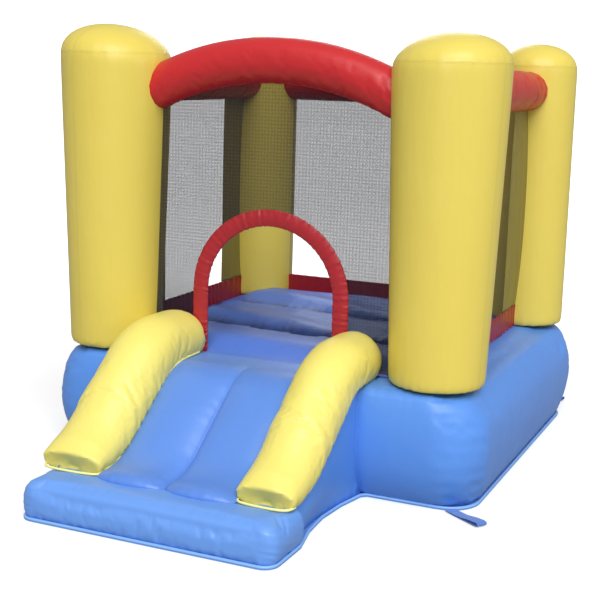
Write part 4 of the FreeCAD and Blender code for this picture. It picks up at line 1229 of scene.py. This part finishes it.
make_panel("rear_skirt", "skirt_rear", SHADED_SKIRT_RED, POST_Y, (-0.575, DECK),
           (0.575, SKIRT_TOP), 1, (140, 16), ripple=0.003)
make_panel("rear_net", "net_rear", NET, POST_Y, (-0.575, SKIRT_TOP),
           (0.575, WALL_TOP), 1, (40, 30), bow=0.012, thickness=NETTING)
for word, side in (("left", -1), ("right", 1)):
    make_panel(f"{word}_skirt", f"skirt_{word}", SHADED_SKIRT_RED, side * POST_X,
               (-0.53, DECK), (0.535, SKIRT_TOP), 0, (130, 16), ripple=0.003)
    make_panel(f"{word}_net", f"net_{word}", NET, side * POST_X,
               (-NET_REACH, SKIRT_TOP), (NET_REACH, WALL_TOP), 0, (24, 30), bow=0.008 * side,
               thickness=NETTING)
    for end, start, stop in (("front", -0.54, -NET_REACH), ("rear", NET_REACH, 0.545)):
        strip = make_panel(f"{word}_{end}_strip", f"side_strip_{word}_{end}", SHADED_STRIP_YELLOW,
                           side * POST_X, (start, SKIRT_TOP), (stop, WALL_TOP),
                           0, (36, 90), ripple=0.0022, pitch=0.09)
        if end == "rear":
            # it swells out towards its post
            points = points_of(strip)
            out = np.clip((points[:, 1] - start) / (stop - start), 0, 1)
            up = np.clip((points[:, 2] - SKIRT_TOP) / (WALL_TOP - SKIRT_TOP), 0, 1)
            points[:, 0] += side * 0.020 * out * np.sin(math.pi * up) ** 0.6
            put_points(strip, points)


def make_front_net():
    """The front net: arched under the beam and cut away at the doorway."""
    half = 0.56

    def point(u, v):
        x = (2 * u - 1) * half
        top = 1.722 - 0.075 - (BEAM_BEND - np.sqrt(BEAM_BEND ** 2 - x ** 2))
        z = DECK + (top - DECK) * v
        return np.stack([x, np.full_like(x, FRONT), z], axis=1)

    net = cloth_grid("front_net", 56, 58, point)
    for vertex in net.data.vertices:
        vertex.select = False
    for edge in net.data.edges:
        edge.select = False
    for face in net.data.polygons:
        above = max(face.center.z - DOOR_SPRING, 0)
        face.select = math.hypot(face.center.x, above) < DOOR_MIDDLE
    bpy.ops.object.mode_set(mode="EDIT")
    bpy.ops.mesh.select_mode(type="FACE")
    bpy.ops.mesh.delete(type="FACE")
    end_edit()
    thicken(net, NETTING)
    dress(net, FRONT_NET, nodes=["net_front"])


def make_door_trim():
    """The gathered red binding round the doorway."""
    half_width, depth = 0.036, 0.013
    stations = []
    legs = 12
    for step in range(legs):
        z = DECK - 0.004 + (DOOR_SPRING - DECK) * step / legs
        stations.append(((-DOOR_MIDDLE, FRONT, z), 0, half_width))
    steps = 40
    for step in range(steps + 1):
        swing = math.pi * step / steps
        stations.append(((-DOOR_MIDDLE * math.cos(swing), FRONT,
                          DOOR_SPRING + DOOR_MIDDLE * math.sin(swing)), swing, half_width))
    for step in range(1, legs + 1):
        z = DOOR_SPRING + (DECK - 0.004 - DOOR_SPRING) * step / legs
        stations.append(((DOOR_MIDDLE, FRONT, z), math.pi, half_width))
    trim = tube_run("doorway_binding", stations, 20, "Y", (0, 0, 0))
    points = points_of(trim)
    points[:, 1] = FRONT + (points[:, 1] - FRONT) * depth / half_width
    put_points(trim, points)
    smooth_over(trim, 2)

    def middle_line(points):
        swing = np.arctan2(points[:, 0], np.maximum(points[:, 2] - DOOR_SPRING, 0))
        radius = np.hypot(points[:, 0], np.maximum(points[:, 2] - DOOR_SPRING, 0))
        along = np.where(points[:, 2] > DOOR_SPRING, swing * DOOR_MIDDLE,
                         np.sign(points[:, 0]) * (DOOR_MIDDLE * math.pi / 2 + DOOR_SPRING
                                                  - points[:, 2]))
        return np.abs(radius - DOOR_MIDDLE), along

    def edges(points):
        away, along = middle_line(points)
        return np.abs(away - half_width), along

    pucker(trim, middle_line, 0.050, 0.0022, 0.033, 0.6)
    pucker(trim, middle_line, 0.050, 0.0020, 0.018, 4.4)
    pucker(trim, edges, 0.016, 0.0036, 0.015, 2.7)
    mark_seam(trim, (edges, 0.008))
    dress(trim, TRIM_RED, nodes=["door_trim"])


make_front_net()
make_door_trim()

# ------------------------------------------------------------ ground sheet, hem, loops

def ground_outline(grow):
    """The ground seam's outline, once round, grown outwards; anticlockwise from the back."""
    half_x, half_y, corner = SEAM_HALF_X, SEAM_HALF_Y, SEAM_CORNER
    slide_half, foot_half, foot_end = 0.492, foot_high.x - 0.004, foot_low.y + 0.004
    right = []
    for step in range(9):
        turn = math.pi / 2 * (1 - step / 8)
        right.append((half_x - corner + (corner + grow) * math.cos(turn),
                      half_y - corner + (corner + grow) * math.sin(turn)))
    for step in range(1, 6):
        right.append((half_x + grow, (half_y - corner) * (1 - step / 3)))
    for step in range(9):
        turn = -math.pi / 2 * step / 8
        right.append((half_x - corner + (corner + grow) * math.cos(turn),
                      -half_y + corner + (corner + grow) * math.sin(turn)))
    right.append((slide_half + grow + 0.02, -half_y - grow))
    right.append((slide_half + grow, -half_y - grow - 0.02))
    for share in (0.25, 0.5, 0.75, 1.0):
        pinch = 0.044 * math.sin(math.pi * share)
        right.append((slide_half + (foot_half - slide_half) * share ** 1.5 - pinch + grow,
                      -half_y - 0.02 - (1.45 - half_y) * share))
    round_off = 0.045
    for step in range(7):
        turn = -math.pi / 2 * step / 6
        right.append((foot_half - round_off + (round_off + grow) * math.cos(turn),
                      foot_end + round_off + (round_off + grow) * math.sin(turn)))
    left = [(-x, y) for x, y in reversed(right)]
    return [(x - LEAN * float(step_edge(LEAN_FROM, LEAN_TO, -y)), y) for x, y in right + left]


def make_ground_sheet():
    """The heavy sheet under everything, its hem standing out past the seam."""
    outer = ground_outline(0.014)
    nothing_selected()
    bpy.ops.mesh.primitive_circle_add(vertices=len(outer), radius=1, fill_type="NGON")
    sheet = settle(named("ground_cloth"))
    put_points(sheet, np.array([(x, y, 0.0012) for x, y in outer[::-1]]))
    area = 0.5 * abs(sum(a[0] * b[1] - b[0] * a[1]
                         for a, b in zip(outer, outer[1:] + outer[:1])))
    edit_all()
    bpy.ops.mesh.inset(thickness=0.006)
    end_edit()
    tidy_normals(sheet)
    thicken(sheet, PLY)
    dress(sheet, HEM_BLUE, nodes=["ground_sheet"], crease=30)


def make_hem():
    """The rolled hem all round the ground seam."""
    line = [(x, y, 0.0080) for x, y in ground_outline(0.009)]
    dress(bent_cord("ground_hem", "POLY", line, 0.0064, closed=True), HEM_BLUE)


def make_anchor_loop(place, side_x, side_y, seam, lie):
    """A webbing loop on the ground, doubled back on itself with an open eye."""
    body, width = f"anchor_loop_{place}", 0.048
    seam, lie = math.radians(seam), math.radians(lie)
    hinge = SEAM_CORNER + 0.025
    root = Vector((side_x * (SEAM_HALF_X - SEAM_CORNER + hinge * math.cos(seam)),
                   side_y * (SEAM_HALF_Y - SEAM_CORNER + hinge * math.sin(seam)), 0))
    ahead = Vector((side_x * math.cos(lie), side_y * math.sin(lie), 0))
    across = Vector((-ahead.y, ahead.x, 0))
    path = ((-0.012, 0.0050), (0.036, 0.0020), (0.100, 0.0016), (0.172, 0.0018), (0.184, 0.0050),
            (0.1870, 0.0105), (0.183, 0.0160), (0.172, 0.0182), (0.130, 0.0150),
            (0.080, 0.0074), (0.055, 0.0062), (0.0, 0.0064), (-0.012, 0.0078))
    stops = np.linspace(0, 1, len(path))

    def point(u, v):
        out = np.interp(v, stops, [spot[0] for spot in path])
        z = np.interp(v, stops, [spot[1] for spot in path])
        z = z + 0.0012 * np.abs(np.sin(2.2 * u + 5 * v))
        wide = (u - 0.5) * width
        spots = (np.outer(out, np.array(ahead)) + np.outer(wide, np.array(across))
                 + np.array(root))
        spots[:, 2] = z + 0.0004
        return spots

    strap = cloth_grid(f"{place}_loop", 16, 60, point)
    apply(strap, "SMOOTH", factor=0.5, iterations=3)
    thicken(strap, PLY)
    dress(strap, STRAP, body=None, nodes=[body], crease=50)
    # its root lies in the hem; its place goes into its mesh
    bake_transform(strap)
    # the box of stitches that joins its plies
    rows, half, start, stop = [], 0.018, 0.036, 0.064
    for offset in (-half, half):
        rows += [(root + ahead * (start + (stop - start) * step / 8) + across * offset, ahead)
                 for step in range(9)]
    for out in (start, stop):
        rows += [(root + ahead * out + across * half * (1 - 2 * step / 9), across)
                 for step in range(1, 9)]
    stitches(f"{place}_loop_stitches", [(spot + Vector((0, 0, 0.0088)), way)
                                        for spot, way in rows], body)


def stitches(name, rows, body):
    """Short raised thread stitches, each copied from one."""
    nothing_selected()
    bpy.ops.mesh.primitive_cube_add(size=1)
    first = named(name)
    first.scale = (0.0030, 0.0007, 0.0006)
    settle(first)
    apply(first, "BEVEL", width=0.0002, segments=1)
    copies = []
    for index, (spot, way) in enumerate(rows):
        turn = Matrix.Rotation(math.atan2(way.y, way.x), 4, "Z")
        copies.append(copy_of(first, f"{name}_{index}", Matrix.Translation(spot) @ turn))
    bpy.data.objects.remove(first)
    join(copies, name, THREAD, body)


def join(pieces, name, finish, body=HOUSE, nodes=()):
    """Make one dressed piece of many."""
    nothing_selected()
    for piece in pieces:
        piece.select_set(True)
    bpy.context.view_layer.objects.active = pieces[0]
    bpy.ops.object.join()
    return dress(named(name), finish, body, nodes, crease=40)


THREAD = webbing_finish("sewing_thread", (0.45, 0.60, 0.95))
make_ground_sheet()
make_hem()
make_anchor_loop("front_right", 1, -1, 66, 34)
make_anchor_loop("rear_left", -1, 1, 72, 78)
make_anchor_loop("rear_right", 1, 1, 72, 78)

# ------------------------------------------------------------ inner cloth walls

def make_inner_walls():
    """The webs inside the base and the slide that hold their shape."""
    webs = []
    low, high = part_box("floor_baffles")
    for index, y in enumerate((low.y, high.y)):
        def point(u, v, y=y):
            reach = high.x * (0.985 - 0.10 * v ** 3)
            sway = 0.006 * np.sin(9 * u) * np.sin(math.pi * v)
            return np.stack([(2 * u - 1) * reach, y + sway, 0.01 + (high.z - 0.022) * v], axis=1)
        webs.append(thicken(cloth_grid(f"floor_web_{index}", 40, 12, point), CLOTH))
    join(webs, "floor_webs", INNER_BLUE, nodes=["floor_baffles"])

    def slide_point(u, v):
        y = -0.86 - 0.62 * u
        top, _ = slide_height(y, -0.006)
        return np.stack([0.004 * np.sin(7 * u) * np.sin(math.pi * v), y,
                         0.01 + (top - 0.01) * v], axis=1)

    web = thicken(cloth_grid("slide_inner_web", 40, 16, slide_point), CLOTH)
    dress(web, INNER_BLUE, nodes=["slide_web"])


make_inner_walls()

# ------------------------------------------------------------ air sleeve and its strap

def make_sleeve():
    """The cloth tube that the blower's outlet is strapped into."""
    low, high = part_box("air_sleeve")
    x, z = middle_of("air_sleeve", 0), middle_of("air_sleeve", 2)
    radius = (high.x - low.x) / 2
    strap_low, strap_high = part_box("sleeve_strap")
    strap = middle_of("sleeve_strap", 1)
    stations = []
    steps = 26
    for step in range(steps + 1):
        y = low.y + (high.y - low.y) * step / steps
        waist = math.exp(-((y - strap) / 0.022) ** 2)
        belly = math.sin(math.pi * min(1, step / steps * 1.15))
        stations.append(((x, y, z), 0, radius * (0.985 + 0.045 * belly - 0.030 * waist)))
    sleeve = tube_run("air_sleeve_cloth", stations, 56, "X", (-math.pi / 2, 0, 0))
    open_ends(sleeve, low.y, high.y)
    thicken(sleeve, CLOTH, -1)
    smooth_over(sleeve)

    def cuff(points):
        turn = np.arctan2(points[:, 0] - x, points[:, 2] - z)
        return np.abs(points[:, 1] - strap), turn * radius

    pucker(sleeve, cuff, 0.060, 0.0034, 0.024, 1.7)
    mark_seam(sleeve, (cuff, 0.05))
    dress(sleeve, BLUE, nodes=["air_sleeve"])

    nothing_selected()
    bpy.ops.mesh.primitive_circle_add(vertices=96, radius=(strap_high.x - strap_low.x) / 2,
                                      location=(x, strap_low.y, z),
                                      rotation=(math.pi / 2, 0, 0))
    band = settle(named("sleeve_band"))
    edit_all("EDGE")
    rows = 6
    for _ in range(rows):
        bpy.ops.mesh.extrude_region_move(TRANSFORM_OT_translate={
            "value": (0, (strap_high.y - strap_low.y) / rows, 0)})
    end_edit()
    tidy_normals(band)
    thicken(band, 0.0022, -1)
    apply(band, "BEVEL", width=0.0005, segments=2)
    dress(band, DARK_STRAP, nodes=["sleeve_strap"], crease=45)


def open_ends(piece, low, high):
    """Take the flat caps off a closed tube that lies along Y."""
    only(piece)
    for face in piece.data.polygons:
        place = face.center.y
        face.select = len(face.vertices) > 4 and min(abs(place - low), abs(place - high)) < 0.002
    bpy.ops.object.mode_set(mode="EDIT")
    bpy.ops.mesh.select_mode(type="FACE")
    bpy.ops.mesh.delete(type="ONLY_FACE")
    end_edit()


make_sleeve()

# ------------------------------------------------------------ zip

def make_zip():
    """Two rows of meshed teeth down the middle of the tape."""
    low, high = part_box("zip_teeth")
    pitch, z = 0.0030, middle_of("zip_teeth", 2)
    nothing_selected()
    bpy.ops.mesh.primitive_cube_add(size=1)
    tooth = named("zip_tooth")
    tooth.scale = (pitch * 0.42, high.y - low.y, 0.0030)
    settle(tooth)
    edit_all()
    bpy.ops.mesh.bevel(offset=0.0003, segments=1)
    end_edit()
    count = int((high.x - low.x) / (pitch / 2)) - 2
    copies = []
    for index in range(count):
        side = 1 if index % 2 else -1
        spot = (low.x + pitch * 0.6 + index * pitch / 2, middle_of("zip_teeth", 1),
                z + side * 0.0009)
        copies.append(copy_of(tooth, f"zip_tooth_{index}", Matrix.Translation(spot)))
    bpy.data.objects.remove(tooth)
    join(copies, "zip_tooth_rows", ZIP_PLASTIC, nodes=["zip_teeth"])


make_zip()

# ------------------------------------------------------------ hard parts keep their CAD shape

HARD_PARTS = {
    ZIP_CLOTH: ["zip_tape"],
    ZIP_METAL: ["zip_slider", "zip_pull"],
    ZIP_PLASTIC: ["strap_buckle"],
    BLOWER: ["blower_housing_left", "blower_housing_right", "blower_handle"],
    BLOWER_DARK: ["intake_grille", "motor_cover", "switch_box", "blower_stand"],
    IMPELLER: ["impeller"],
    MOTOR: ["motor"],
    STEEL: ["motor_shaft", "housing_screws"],
    SWITCH: ["switch_rocker"],
    RUBBER: ["cable_gland", "blower_feet"],
}
for finish, names in HARD_PARTS.items():
    for name in names:
        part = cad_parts[name]
        part.data.materials.clear()
        part.data.materials.append(finish)
